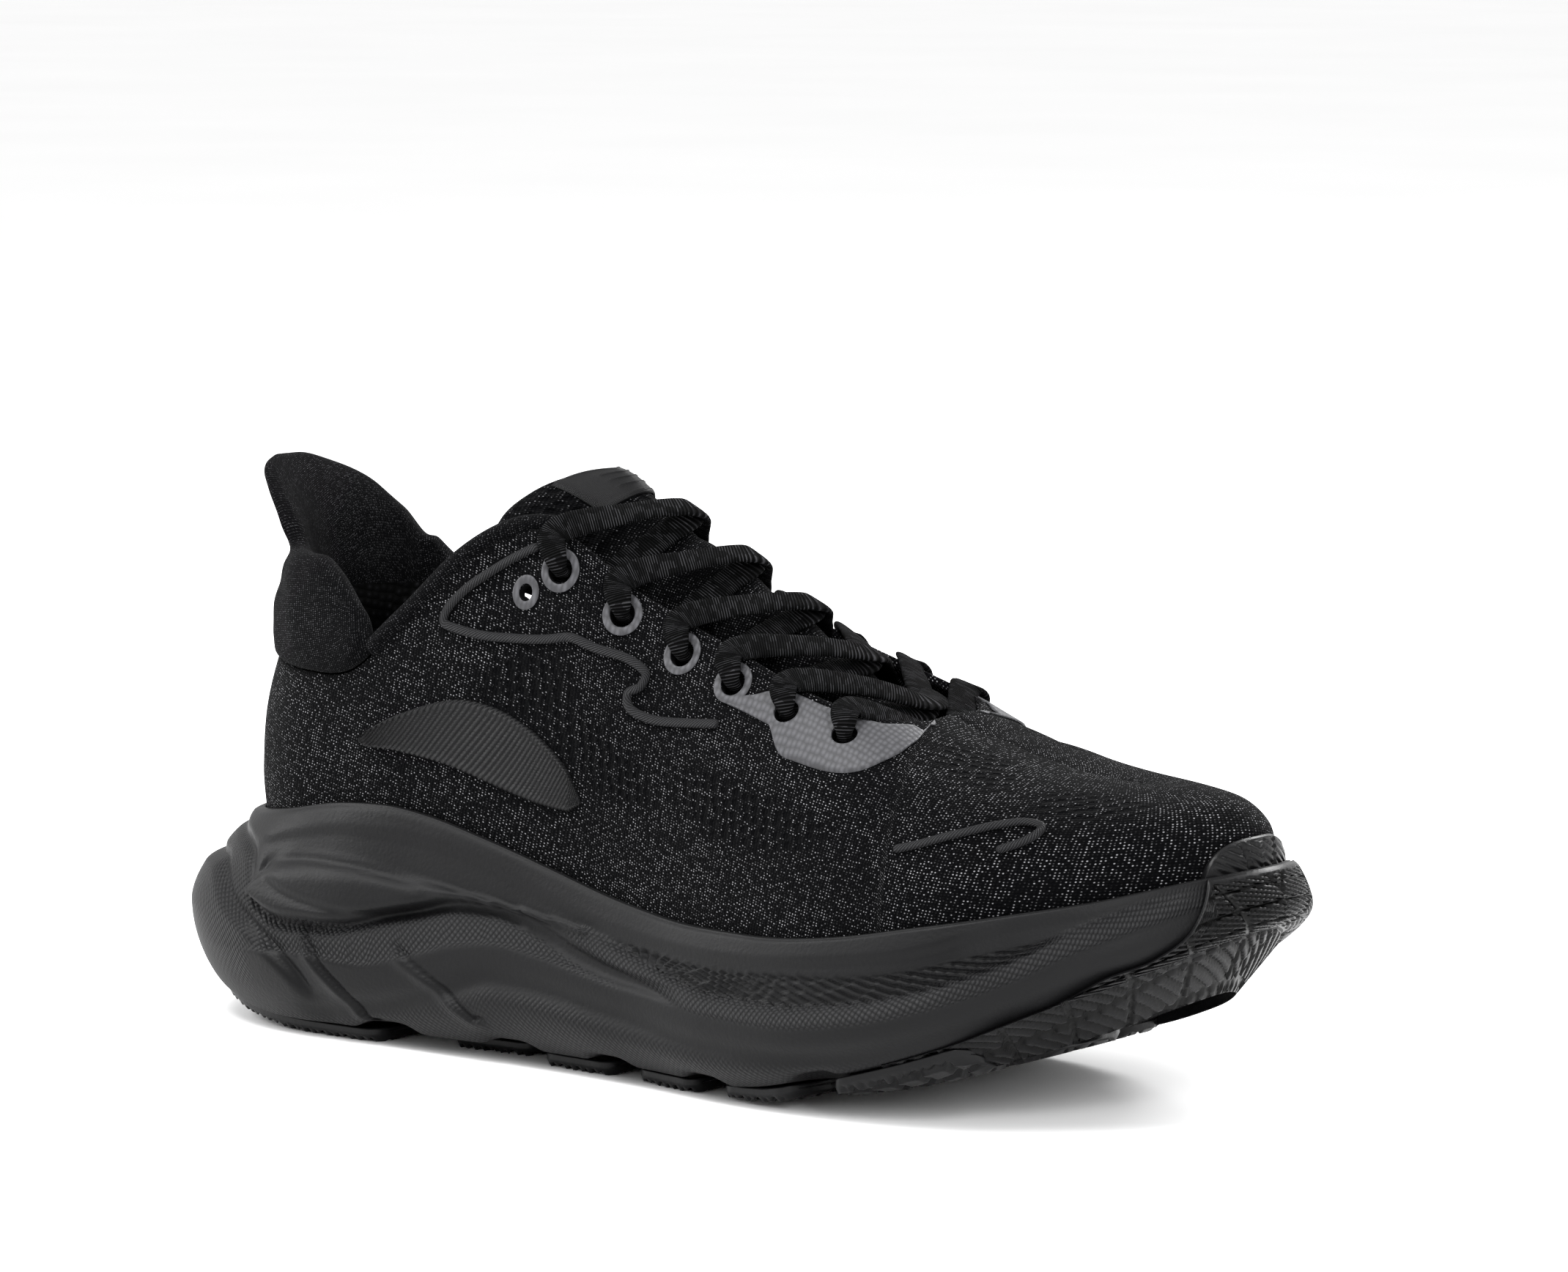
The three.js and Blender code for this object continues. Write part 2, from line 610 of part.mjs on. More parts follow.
function heelWrap(s1, z0, z1, out, inner, steps, rows) {
  const ring = (side, s) => {
    const [low, high] = [z0(s), z1(s, side)];
    return [
      ...range(rows + 1).map((j) => collarPoint(side, s, mix(low, high, j / rows), out)),
      ...range(rows + 1).map((j) => collarPoint(side, s, mix(high, low, j / rows), inner)),
    ];
  };
  return loft([
    ...range(steps).map((i) => ring(lateral, mix(s1, 0, i / steps))),
    ...range(steps + 1).map((i) => ring(medial, mix(0, s1, i / steps))),
  ]);
}

// Rolled binding along the knit's edge, from the collar forward and up over the eyestay.
function makeBinding(side) {
  const path = [0.3, 0.315, 0.335, 0.36, 0.385, 0.41, 0.43, 0.448];
  return ribbon(path.map((s) => {
    const at = onUpper(side, s, 1, -knitThickness / 2);
    const below = onUpper(side, s, 0.93, -knitThickness / 2);
    const up = at.clone().sub(below).normalize();
    return { at: at.addScaledVector(up, 2.7), up, wide: 4.6, thick: 4 };
  }));
}

// ---------- tongue ----------

// Arcs of the tongue, toe to ankle: its middle (x, z) and its side (x, y, z).
const tongueArcs = [
  { x: 70, z: 76.5, side: [73, 16, 68] },
  { x: 51, z: 87.2, side: [49, 18, 72] },
  { x: 26, z: 103.5, side: [19, 19, 82] },
  { x: 5, z: 115.5, side: [-10, 17.5, 93] },
  { x: -10, z: 123.5, side: [-28, 16.5, 102] },
  { x: -22, z: 129.8, side: [-44, 18, 112] },
  { x: -32, z: 131.8, side: [-58, 18.5, 121] },
];
const tongueShift = -1.5; // the throat's middle lies a little to the lateral side
const tongueKnots = (pick) => tongueArcs.map((arc, i) => [i, pick(arc)]);

function tongueMiddle(b, a) {
  const [mx, mz] = [curveAt(tongueKnots((k) => k.x), b), curveAt(tongueKnots((k) => k.z), b)];
  const [sx, sy, sz] = [0, 1, 2].map((n) => curveAt(tongueKnots((k) => k.side[n]), b));
  const drop = Math.abs(a) ** 1.9;
  return vec(mix(mx, sx, drop), tongueShift + sy * a, mix(mz, sz, drop));
}

function tonguePoint(b, a, out) {
  const along = tongueMiddle(b + 0.05, a).sub(tongueMiddle(b - 0.05, a));
  const across = tongueMiddle(b, a + 0.02).sub(tongueMiddle(b, a - 0.02));
  return tongueMiddle(b, a).addScaledVector(across.cross(along).normalize(), out);
}

function tongueSheet(b0, b1, out, inner, steps, reach = 1) {
  const across = [-1, -0.8, -0.55, -0.28, 0, 0.28, 0.55, 0.8, 1].map((a) => a * reach);
  const depth = (given, b, a) => (typeof given === "function" ? given(b, a) : given);
  return loft(range(steps + 1).map((i) => {
    const b = mix(b0, b1, i / steps);
    return [
      ...across.map((a) => tonguePoint(b, a, depth(out, b, a))),
      ...[...across].reverse().map((a) => tonguePoint(b, a, depth(inner, b, a))),
    ];
  }));
}

// ---------- lace ----------

const laceWide = 6;
const laceThick = 1.3;

// Point above the tongue's middle line, level with the holes at share s.
function overTongue(s, lift, a = 0) {
  const hole = onUpper(lateral, s, 0.87);
  let b = 0;
  while (b < 5.9 && tongueMiddle(b, 0).x > hole.x + 8) b += 0.02;
  return tonguePoint(b, a, lift);
}

// One half of the lacing, from the bar across the toe end to the tucked end past the last hole.
function laceHalf(first) {
  const stations = [];
  let turn = 1;
  const put = (at, up, wide = laceWide, thick = laceThick) =>
    stations.push({ at, up: up.clone().multiplyScalar(turn), wide, thick });
  const spot = (side, s, v, out) => onUpper(side, s, v, out);
  const normal = (side, s, v) => normalOf(upperPoint, side, s, v);
  let side = first;
  holes.forEach(({ s, v }, k) => {
    const away = spot(side, s, v - 0.12, 0).sub(spot(side, s, v + 0.05, 0)).normalize();
    const slant = normal(side, s, v).add(away.clone().multiplyScalar(0.6)).normalize();
    const under = normal(side, s, v).negate().add(away);
    put(spot(side, s + 0.002, 1.02, 2.6), normal(side, s, 0.98));
    put(spot(side, s, 0.95, 2), normal(side, s, 0.95));
    put(spot(side, s, v + 0.02, 2), slant, 4, 1.6);
    put(spot(side, s, v, 0.8), away, 3.2, 1.8);
    put(spot(side, s, v, -knitThickness - 0.6), away, 3.2, 1.8);
    put(spot(side, s - 0.002, v + 0.025, -knitThickness - 1.9), under, 4, 1.5);
    turn = -turn;
    const next = holes[k + 1];
    if (!next) {
      put(spot(side, s - 0.014, v - 0.04, -knitThickness - 1.3), normal(side, s, v), 5, laceThick);
      return;
    }
    put(spot(side, mix(s, next.s, 0.2), 0.97, -knitThickness - 1.8), normal(side, s, 0.97));
    const lift = first === lateral === (k % 2 === 0) ? 5.2 : 2.2;
    const way = side === lateral ? 1 : -1;
    const over = (part, high, a, tilt) =>
      put(overTongue(mix(s, next.s, part), high, a), vec(0.42, tilt, 1).normalize());
    over(0.3, mix(lift, 1.6, 0.5), -0.52 * way, -0.4 * way);
    over(0.5, lift, 0, 0);
    over(0.7, mix(lift, 2.6, 0.5), 0.52 * way, 0.4 * way);
    side = -side;
  });
  return stations;
}

function makeLace(extra = 0) {
  const first = laceHalf(lateral);
  const second = laceHalf(medial);
  const barUp = vec(0.45, 0, 1).normalize();
  const bar = { at: overTongue(holes[0].s, 2.2), up: barUp, wide: laceWide, thick: laceThick };
  const back = first.map((station) => ({ ...station, up: station.up.clone() })).reverse();
  const path = [...back, bar, ...second];
  path.forEach((station) => {
    station.wide += extra;
    station.thick += extra;
  });
  return ribbon(refine(path, 2), [[-1, -1], [1, -1], [1, 1], [-1, 1]]);
}

// Stations between the given ones, on a smooth path through them.
function refine(stations, parts) {
  const curve = new THREE.CatmullRomCurve3(stations.map(({ at }) => at), false, "centripetal");
  const last = stations.length - 1;
  return range(last * parts + 1).map((i) => {
    const k = Math.min(Math.floor(i / parts), last - 1);
    const t = i / parts - k;
    const [a, b] = [stations[k], stations[k + 1]];
    return {
      at: curve.getPoint(i / (last * parts)), up: a.up.clone().lerp(b.up, t).normalize(),
      wide: mix(a.wide, b.wide, t), thick: mix(a.thick, b.thick, t),
    };
  });
}

// Label patch on the tongue's top.
function tongueLabel() {
  const out = (b) => 1.7 + 1.4 * smooth(5, 6, b);
  return loft(range(5).map((i) => {
    const b = mix(4.85, 5.75, i / 4);
    const across = [-0.5, -0.25, 0, 0.25, 0.5];
    return [
      ...across.map((a) => tonguePoint(b, a, out(b) + 0.7)),
      ...[...across].reverse().map((a) => tonguePoint(b, a, out(b))),
    ];
  }));
}

function makeRing(side, { s, v }, outerRadius) {
  const normal = normalOf(upperPoint, side, s, v);
  const shape = new THREE.LatheGeometry(
    [[holeRadius, 0.2], [outerRadius, 0.2], [outerRadius, 0.6], [holeRadius, 0.6], [holeRadius, 0.2]]
      .map(([r, h]) => new THREE.Vector2(r, h)), 14).rotateX(Math.PI / 2);
  shape.applyQuaternion(new THREE.Quaternion().setFromUnitVectors(vec(0, 0, 1), normal));
  const at = onUpper(side, s, v, 0.35);
  shape.translate(at.x, at.y, at.z);
  return solid(shape);
}

// ---------- films, piping and marks on the knit ----------

const pipingPath = [
  [0.43, 0.938], [0.406, 0.92], [0.383, 0.905], [0.36, 0.895], [0.343, 0.87],
  [0.339, 0.835], [0.352, 0.765], [0.38, 0.69], [0.424, 0.655], [0.468, 0.69], [0.499, 0.745],
  [0.511, 0.74], [0.507, 0.69], [0.496, 0.64], [0.497, 0.605], [0.512, 0.61], [0.544, 0.655], [0.578, 0.71],
];
const hookPath = [
  [0.722, 0.3], [0.742, 0.33], [0.766, 0.378], [0.79, 0.43], [0.812, 0.46], [0.823, 0.445],
  [0.822, 0.4], [0.812, 0.352], [0.794, 0.308],
];

// Film patch that carries the two lowest holes.
function makePatch(side) {
  const top = (s) => mix(0.8, 0.925, smooth(0.6, 0.635, s)) - 0.08 * smooth(0.68, 0.705, s);
  const low = (s) => mix(0.78, 0.72, smooth(0.6, 0.635, s));
  const sheet = upperSheet(side, {
    s0: 0.6, s1: 0.705, v0: low, v1: top, out: 0.75, inner: 0.35, steps: 10, rows: 2,
  });
  return holes.slice(0, 2).reduce((left, hole) => left.subtract(holeCutter(side, hole)), sheet);
}

// Leaf-shaped rib mark on the lateral heel quarter.
function makeMark() {
  const belly = (s) => Math.sin((Math.PI * (s - 0.255)) / 0.2) ** 0.6;
  const middle = (s) => mix(0.5, 0.24, (s - 0.255) / 0.2);
  return upperSheet(lateral, {
    s0: 0.259, s1: 0.451, v0: (s) => middle(s) - 0.13 * belly(s), v1: (s) => middle(s) + 0.13 * belly(s),
    out: 1.1, inner: 0.35, steps: 12, rows: 2,
  });
}

function makeToePuff() {
  const half = (side) => upperSheet(side, {
    s0: 0.88, s1: 1.003, v0: () => 0.04, v1: () => 0.66, out: -knitThickness - 1.2,
    inner: -knitThickness - 2.2, steps: 6, rows: 5,
  });
  return half(lateral).add(half(medial));
}

makeSole();
add("strobel_board", bedPlate(upperInset + skirtInset + knitThickness + 0.6, 0.7, 2, 0), board);
add("sockliner", bedPlate(upperInset + skirtInset + knitThickness + 1, 2.4, 6.6, 3), webbing);
// The lace presses a little way into the padding under it.
const laceRoom = makeLace(0.7);
const pressed = (manifold) => manifold.subtract(laceRoom).decompose()
  .sort((a, b) => b.volume() - a.volume())[0];
add("upper_knit", pressed(makeKnit()), knit);
add("heel_collar", makeCollar(), softKnit);
add("heel_tab", makeTab(), softKnit);
add("heel_counter", heelWrap(0.24, () => 58, (s) => mix(82, 76, s / 0.24), -2.7, -4.2, 8, 3), board);
add("collar_lining", heelWrap(0.27, () => 62, (s, side) => Math.min(collarTop(side, s), foldHeight) - 2.5,
  -6.8, -8.4, 10, 4), webbing);
add("collar_binding_lateral", makeBinding(lateral), softKnit);
add("collar_binding_medial", makeBinding(medial), softKnit);
add("tongue", pressed(tongueSheet(0, 4.62, 0, -3.2, 12)), webbing);
const topFace = (b) => 1.4 * smooth(5, 6, b);
const topBack = (b) => -3.6 - 2.4 * smooth(4.8, 5.6, b);
add("tongue_top", pressed(tongueSheet(4.75, 6, topFace, topBack, 6)), softKnit);
add("tongue_label", tongueLabel(), webbing);
add("lace", makeLace(), webbing);
add("toe_puff", makeToePuff(), board);
[lateral, medial].forEach((side) => {
  const word = side === lateral ? "lateral" : "medial";
  add(`lace_patch_${word}`, makePatch(side), film);
  holes.slice(2).forEach((hole, i) => add(`eyelet_ring_${word}_${i + 1}`, makeRing(side, hole, 4.6), film));
  add(`eyelet_ring_${word}_spare`, makeRing(side, spareHole, 4.6), film);
  add(`piping_${word}`, piping(side, pipingPath, 1.05, 2.6, 1.3, 44), softKnit);
});
add("forefoot_hook", piping(lateral, hookPath, 0.95, 2.2, 1.1, 18), softKnit);
add("side_mark", makeMark(), webbing);

export default group;
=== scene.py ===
# A black cushioned running shoe for the right foot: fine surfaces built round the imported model.
import math

import bmesh
import bpy
import numpy as np
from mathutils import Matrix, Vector


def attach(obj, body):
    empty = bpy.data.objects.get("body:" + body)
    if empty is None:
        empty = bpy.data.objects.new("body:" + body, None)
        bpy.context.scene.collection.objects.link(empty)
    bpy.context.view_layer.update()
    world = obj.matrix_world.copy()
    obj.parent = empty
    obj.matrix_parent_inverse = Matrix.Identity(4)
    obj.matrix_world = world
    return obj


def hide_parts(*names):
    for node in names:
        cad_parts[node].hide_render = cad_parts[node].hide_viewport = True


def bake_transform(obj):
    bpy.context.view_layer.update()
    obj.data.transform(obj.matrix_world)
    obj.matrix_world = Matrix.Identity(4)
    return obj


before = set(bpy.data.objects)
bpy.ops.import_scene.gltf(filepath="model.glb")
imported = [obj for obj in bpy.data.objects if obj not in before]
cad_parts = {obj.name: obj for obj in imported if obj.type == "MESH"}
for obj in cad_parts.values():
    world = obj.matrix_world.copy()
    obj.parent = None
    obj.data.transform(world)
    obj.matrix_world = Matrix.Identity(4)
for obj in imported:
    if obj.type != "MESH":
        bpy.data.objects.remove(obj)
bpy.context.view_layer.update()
mm = 0.001

# Degrees round from the lateral side and up, metres away, lens in mm, and where it aims.
view = {"azimuth": 37, "elevation": 7, "distance": 1.6, "lens": 157.5, "right": 0.0142, "up": 0.0985}


def makeCamera():
    a, e = math.radians(view["azimuth"]), math.radians(view["elevation"])
    back = Vector((math.sin(a) * math.cos(e), -math.cos(a) * math.cos(e), math.sin(e)))
    right = Vector((math.cos(a), math.sin(a), 0))
    up = Vector((-math.sin(a) * math.sin(e), math.cos(a) * math.sin(e), math.cos(e)))
    aim = right * view["right"] + Vector((0, 0, 0.065)) + up * (view["up"] - 0.065)
    camera = bpy.data.objects.new("camera", bpy.data.cameras.new("camera"))
    bpy.context.scene.collection.objects.link(camera)
    camera.data.lens = view["lens"]
    camera.location = aim + back * view["distance"]
    camera.rotation_mode = "QUATERNION"
    camera.rotation_quaternion = (-back).to_track_quat("-Z", "Y")
    bpy.context.scene.camera = camera


lights = [
    # a soft box overhead, a strip off the toe and one off the heel, and a rim from behind
    {"name": "overhead", "at": (-0.25, -0.55, 1.5), "size": (0.9, 0.6), "watts": 24},
    {"name": "sideStrip", "at": (1.15, -0.7, 0.85), "size": (0.3, 1.0), "watts": 15},
    {"name": "heelStrip", "at": (-1.2, -0.45, 0.75), "size": (0.3, 0.9), "watts": 13},
    {"name": "backRim", "at": (0.1, 1.2, 0.95), "size": (1.0, 0.3), "watts": 16},
]


def makeLights():
    for light in lights:
        lamp = bpy.data.lights.new(light["name"], "AREA")
        lamp.shape = "RECTANGLE"
        lamp.size, lamp.size_y = light["size"]
        lamp.energy = light["watts"]
        piece = bpy.data.objects.new(light["name"], lamp)
        bpy.context.scene.collection.objects.link(piece)
        piece.location = light["at"]
        aim = Vector((0, 0, 0.06)) - piece.location
        piece.rotation_mode = "QUATERNION"
        piece.rotation_quaternion = aim.to_track_quat("-Z", "Y")
    world = bpy.data.worlds.new("studio")
    bpy.context.scene.world = world
    world.use_nodes = True
    world.node_tree.nodes["Background"].inputs["Color"].default_value = (1, 1, 1, 1)
    world.node_tree.nodes["Background"].inputs["Strength"].default_value = 1.0


def linear(hexCode):  # sRGB hex to the linear colour a shader takes
    parts = [int(hexCode[i:i + 2], 16) / 255 for i in (1, 3, 5)]
    return [c / 12.92 if c <= 0.04045 else ((c + 0.055) / 1.055) ** 2.4 for c in parts] + [1]


def node(tree, kind, settings=None, **inputs):  # adds a node, with its settings and its inputs
    made = tree.nodes.new(kind)
    for key, value in (settings or {}).items():
        setattr(made, key, value)
    for key, value in inputs.items():
        slot = int(key[1:]) if key[0] == "i" and key[1:].isdigit() else key.replace("_", " ")
        if isinstance(value, bpy.types.NodeSocket):
            tree.links.new(value, made.inputs[slot])
        else:
            made.inputs[slot].default_value = value
    return made


def newMaterial(name, colour, roughness, **sockets):
    material = bpy.data.materials.new(name)
    material.use_nodes = True
    shader = material.node_tree.nodes["Principled BSDF"]
    shader.inputs["Base Color"].default_value = linear(colour)
    shader.inputs["Roughness"].default_value = roughness
    for key, value in sockets.items():
        shader.inputs[key.replace("_", " ")].default_value = value
    return material, material.node_tree, shader


def ramp(tree, factor, stops):  # colour ramp through (position, hex) stops
    made = node(tree, "ShaderNodeValToRGB", Fac=factor)
    band = made.color_ramp
    while len(band.elements) < len(stops):
        band.elements.new(0.5)
    for element, (position, code) in zip(band.elements, stops):
        element.position = position
        element.color = linear(code)
    return made.outputs["Color"]


def maths(tree, operation, a, b, c=0.0):
    return node(tree, "ShaderNodeMath", {"operation": operation}, i0=a, i1=b, i2=c).outputs[0]


def surfaceCoords(tree, across, up, turn=0.0):  # the piece's own UV, in mm, over a repeat's size
    coords = node(tree, "ShaderNodeUVMap")
    spin = node(tree, "ShaderNodeMapping", Vector=coords.outputs["UV"], Rotation=(0, 0, math.radians(turn)))
    return node(
        tree, "ShaderNodeMapping", Vector=spin.outputs["Vector"], Scale=(1 / across, 1 / up, 1),
    ).outputs["Vector"]


def objectCoords(tree, size):  # object coordinates over a repeat's size in mm
    coords = node(tree, "ShaderNodeTexCoord")
    return node(
        tree, "ShaderNodeMapping", Vector=coords.outputs["Object"], Scale=(1000 / size,) * 3,
    ).outputs["Vector"]


def bump(tree, shader, height, strength, distance):  # distance in mm
    made = node(tree, "ShaderNodeBump", Strength=strength, Distance=distance * mm, Height=height)
    tree.links.new(made.outputs["Normal"], shader.inputs["Normal"])


# Engineered jersey knit of black polyester with a thin grey thread: rows of small loops, a share of
# which carry painted glints, highlights painted into the colour; where the zone "mesh" is set the knit
# opens in eyes darkened with painted shade.
def knitMaterial(name, look):
    stitch, openness = look["stitch"], look.get("openness", 0)
    material, tree, shader = newMaterial(
        name, "#131314", 0.9, Sheen_Weight=0.01, Specular_IOR_Level=0.03)
    loops = node(
        tree, "ShaderNodeTexVoronoi", {"voronoi_dimensions": "2D", "feature": "F1"},
        Vector=surfaceCoords(tree, stitch[0], stitch[1], 14), Scale=1.0, Randomness=0.32)
    light = node(tree, "ShaderNodeSeparateColor", Color=loops.outputs["Color"]).outputs[0]
    cloud = node(
        tree, "ShaderNodeTexNoise", Vector=surfaceCoords(tree, 30, 16), Scale=1.0, Detail=3.0)
    # painted glints: each loop's raised middle is painted light, some loops more than others
    spot = node(
        tree, "ShaderNodeMapRange", Value=loops.outputs["Distance"], From_Min=0.1, From_Max=0.44,
        To_Min=1.0, To_Max=0.0).outputs[0]
    bright = maths(tree, "MULTIPLY", light, 0.7)
    share = maths(tree, "MULTIPLY_ADD", cloud.outputs["Fac"], 0.4, bright)
    glintAndShadeTone = maths(tree, "MULTIPLY", spot, share)
    height = maths(tree, "SUBTRACT", 1.0, loops.outputs["Distance"])
    if openness:
        zone = node(tree, "ShaderNodeAttribute", {"attribute_name": "mesh"}).outputs["Fac"]
        eyes = node(
            tree, "ShaderNodeTexVoronoi", {"voronoi_dimensions": "2D"},
            Vector=surfaceCoords(tree, 3.4, 2.6), Scale=1.0, Randomness=0.35)
        hole = node(
            tree, "ShaderNodeMapRange", Value=eyes.outputs["Distance"], From_Min=0.18, From_Max=0.42,
            To_Min=1.0, To_Max=0.0).outputs[0]
        # painted shade: the eyes are darkened in the colour as well as sunk in the bump
        eyeShadeAndDepth = maths(tree, "MULTIPLY", maths(tree, "MULTIPLY", hole, zone), openness)
        glintAndShadeTone = maths(tree, "SUBTRACT", glintAndShadeTone, eyeShadeAndDepth)
        height = maths(tree, "SUBTRACT", height, maths(tree, "MULTIPLY", eyeShadeAndDepth, 1.6))
    tree.links.new(ramp(tree, glintAndShadeTone, look["tones"]), shader.inputs["Base Color"])
    bump(tree, shader, height, 0.9, look["depth"])
    return material


# Moulded or woven trim with ribs across it: piping, hook, side mark. Rib pitch in mm. The rib crests are
# painted lighter than the hollows, a painted highlight.
def ribbedMaterial(name, colour, bright, pitch, turn, roughness=0.55, depth=0.35):
    material, tree, shader = newMaterial(name, colour, roughness, Specular_IOR_Level=0.12)
    wave = node(
        tree, "ShaderNodeTexWave", {"wave_type": "BANDS", "wave_profile": "SIN"},
        Vector=surfaceCoords(tree, pitch, pitch, turn), Scale=1 / math.tau * math.pi, Distortion=0.0)
    # painted highlight: the colour follows the rib's height, lighter on the crests
    stops = [(0.25, colour), (0.95, bright)]
    tree.links.new(ramp(tree, wave.outputs["Fac"], stops), shader.inputs["Base Color"])
    bump(tree, shader, wave.outputs["Fac"], 0.9, depth)
    return material


floorLook = {"colour": "#fafafa", "dark": "#f8f8f8", "bright": "#fcfcfc", "patch": 300, "half": 8}


def makeFloor():
    material, tree, shader = newMaterial("matt white floor", floorLook["colour"], 0.9)
    speck = node(tree, "ShaderNodeTexNoise", Vector=objectCoords(tree, floorLook["patch"]), Scale=1.0)
    stops = [(0.2, floorLook["dark"]), (0.8, floorLook["bright"])]
    tree.links.new(ramp(tree, speck.outputs["Fac"], stops), shader.inputs["Base Color"])
    form = bmesh.new()
    bmesh.ops.create_grid(form, x_segments=2, y_segments=2, size=floorLook["half"])
    mesh = bpy.data.meshes.new("floor")
    form.to_mesh(mesh)
    form.free()
    floor = bpy.data.objects.new("floor", mesh)
    bpy.context.scene.collection.objects.link(floor)
    mesh.materials.append(material)


makeCamera()
makeLights()
bpy.context.scene.view_settings.view_transform = "Standard"  # a plain studio white
makeFloor()
print("camera, lights and floor are set")

# The last and its surfaces, in millimetres: +X toe, -Y lateral, +Z up.
lateral = -1
medial = 1

# Plan outline of the foam at its widest: heel, lateral side, toe tip, medial side.
planPoints = [
    [-150, 0], [-146, -18], [-133, -34], [-112, -43.5], [-85, -46.5], [-55, -45.5], [-25, -45],
    [5, -48], [35, -54], [62, -57], [88, -54.5], [112, -45.5], [131, -31], [144, -12],
    [150, 10], [144.5, 29], [130, 43.5], [108, 52.5], [82, 57], [58, 55.5], [32, 49], [5, 43],
    [-25, 41.5], [-55, 43], [-85, 46], [-112, 43.5], [-133, 34], [-146, 18],
]
# Heights along the shoe: underside of the rubber, lower edge of the foam wall, its rim, its widest.
groundKnots = [
    [-150, 24], [-144, 14.5], [-134, 7.2], [-120, 2.4], [-106, 0.4], [-96, 0], [20, 0], [34, 0.4],
    [48, 1.4], [60, 2.9], [75, 5.4], [90, 9], [102, 12.6], [113, 16.6], [123, 20.8], [136, 28],
    [142, 32], [150, 40],
]
footKnots = [
    [-150, 28], [-144, 18.5], [-134, 11.2], [-120, 6.4], [-106, 4.4], [-96, 4], [34, 4], [46, 5],
    [60, 8], [75, 12], [100, 20.5], [117, 28.5], [127, 33], [136, 38], [150, 47],
]
rimKnots = [
    [-150, 48], [-134, 49], [-120, 50.5], [-104, 53], [-88, 56], [-72, 57], [-58, 55.5], [-40, 51.5],
    [-20, 46.5], [0, 42], [20, 39.5], [44, 39.3], [70, 41.6], [90, 45.3], [110, 49], [125, 52],
    [140, 56], [150, 58],
]
widestKnots = [
    [-150, 29], [-135, 27], [-110, 24], [-60, 20], [0, 15], [40, 15], [70, 21], [100, 30],
    [125, 39], [150, 49],
]
# Distance inwards from the plan outline to the rim, and to the lower edge of the wall.
rimInsetKnots = [
    [-150, 16], [-133, 15], [-112, 11.5], [-85, 9.5], [-50, 7.5], [0, 6], [60, 5.2], [120, 4.2],
    [150, 3.8],
]
footInsetKnots = [[-150, 5], [-133, 6], [-100, 7], [0, 7], [60, 6.5], [110, 6], [150, 6]]
noInset = [[-150, 0], [150, 0]]
bedKnots = [[-150, 38], [-50, 38], [0, 33], [55, 28], [100, 31.5], [130, 39], [150, 46]]
centreKnots = [[-150, 0], [-50, 0], [0, -1], [50, 0], [80, 2], [110, 6], [150, 9]]
# Ribs of the upper from heel (0) to toe (1): share, crown point aimed at (x, z), height of the
# knit's edge, roundness.
ribKnots = np.array([
    [0.0, -98, 175, 90, 1], [0.1, -98, 175, 88.5, 1], [0.2, -98, 175, 86, 1],
    [0.25, -98, 178, 87.5, 1], [0.3, -98, 180, 99.5, 1], [0.35, -92, 172, 113, 1],
    [0.4, -74, 158, 121.5, 1.03], [0.445, -60, 150, 124, 1.05], [0.47, -45, 142, 119.5, 1.1],
    [0.5, -29, 131, 112, 1.15], [0.55, -8, 121, 104.5, 1.2], [0.6, 11, 113, 98, 1.2],
    [0.65, 30, 103.5, 91.5, 1.15], [0.69, 50, 93, 87, 1.05], [0.72, 66, 85.2, 85.2, 0.98],
    [0.76, 80, 80.4, 80.4, 0.9], [0.82, 95, 76.2, 76.2, 0.82], [0.9, 108, 74, 74, 0.75],
    [1.0, 116, 73.4, 73.4, 0.7],
])
# How far the back of the heel moves out (+) or in (-) at each height.
heelProfileKnots = [
    [45, 0], [60, 1.5], [75, 1], [88, -1.5], [96, -3.6], [104, -3.4], [112, -2.4], [120, 0.4],
    [127, 6], [134, 14.5],
]
last = {
    "toeShare": 0.507, "upperInset": 2, "skirtInset": 2.9, "upperSink": 3, "knit": 2.2,
    "toeRelief": 2.05, "rubber": 3.6, "bottomInset": 11, "vampStart": 0.715, "gap": 0.35,
}


def curveAt(knots, x):  # a smooth curve through [position, value] knots; flat runs stay flat
    xs, ys = np.array(knots, float)[:, :2].T
    gaps = np.diff(xs)
    rise = np.diff(ys) / gaps
    slope = np.empty(len(xs))
    slope[0], slope[-1] = rise[0], rise[-1]
    inside = (rise[:-1] * gaps[1:] + rise[1:] * gaps[:-1]) / (gaps[:-1] + gaps[1:])
    slope[1:-1] = np.where(rise[:-1] * rise[1:] <= 0, 0, inside)
    at = np.clip(x, xs[0], xs[-1])
    i = np.clip(np.searchsorted(xs, at, side="right") - 1, 0, len(xs) - 2)
    h = gaps[i]
    t = (at - xs[i]) / h
    return (
        (1 + 2 * t) * (1 - t) ** 2 * ys[i] + t * (1 - t) ** 2 * h * slope[i]
        + t * t * (3 - 2 * t) * ys[i + 1] + t * t * (t - 1) * h * slope[i + 1]
    )


def mix(a, b, t):
    return a + (b - a) * t


def smooth(low, high, x):
    t = np.clip((x - low) / (high - low), 0, 1)
    return t * t * (3 - 2 * t)


def vectors(x, y, z):
    return np.stack(np.broadcast_arrays(x, y, z), -1).astype(float)


def unit(p):
    return p / np.maximum(np.linalg.norm(p, axis=-1, keepdims=True), 1e-9)


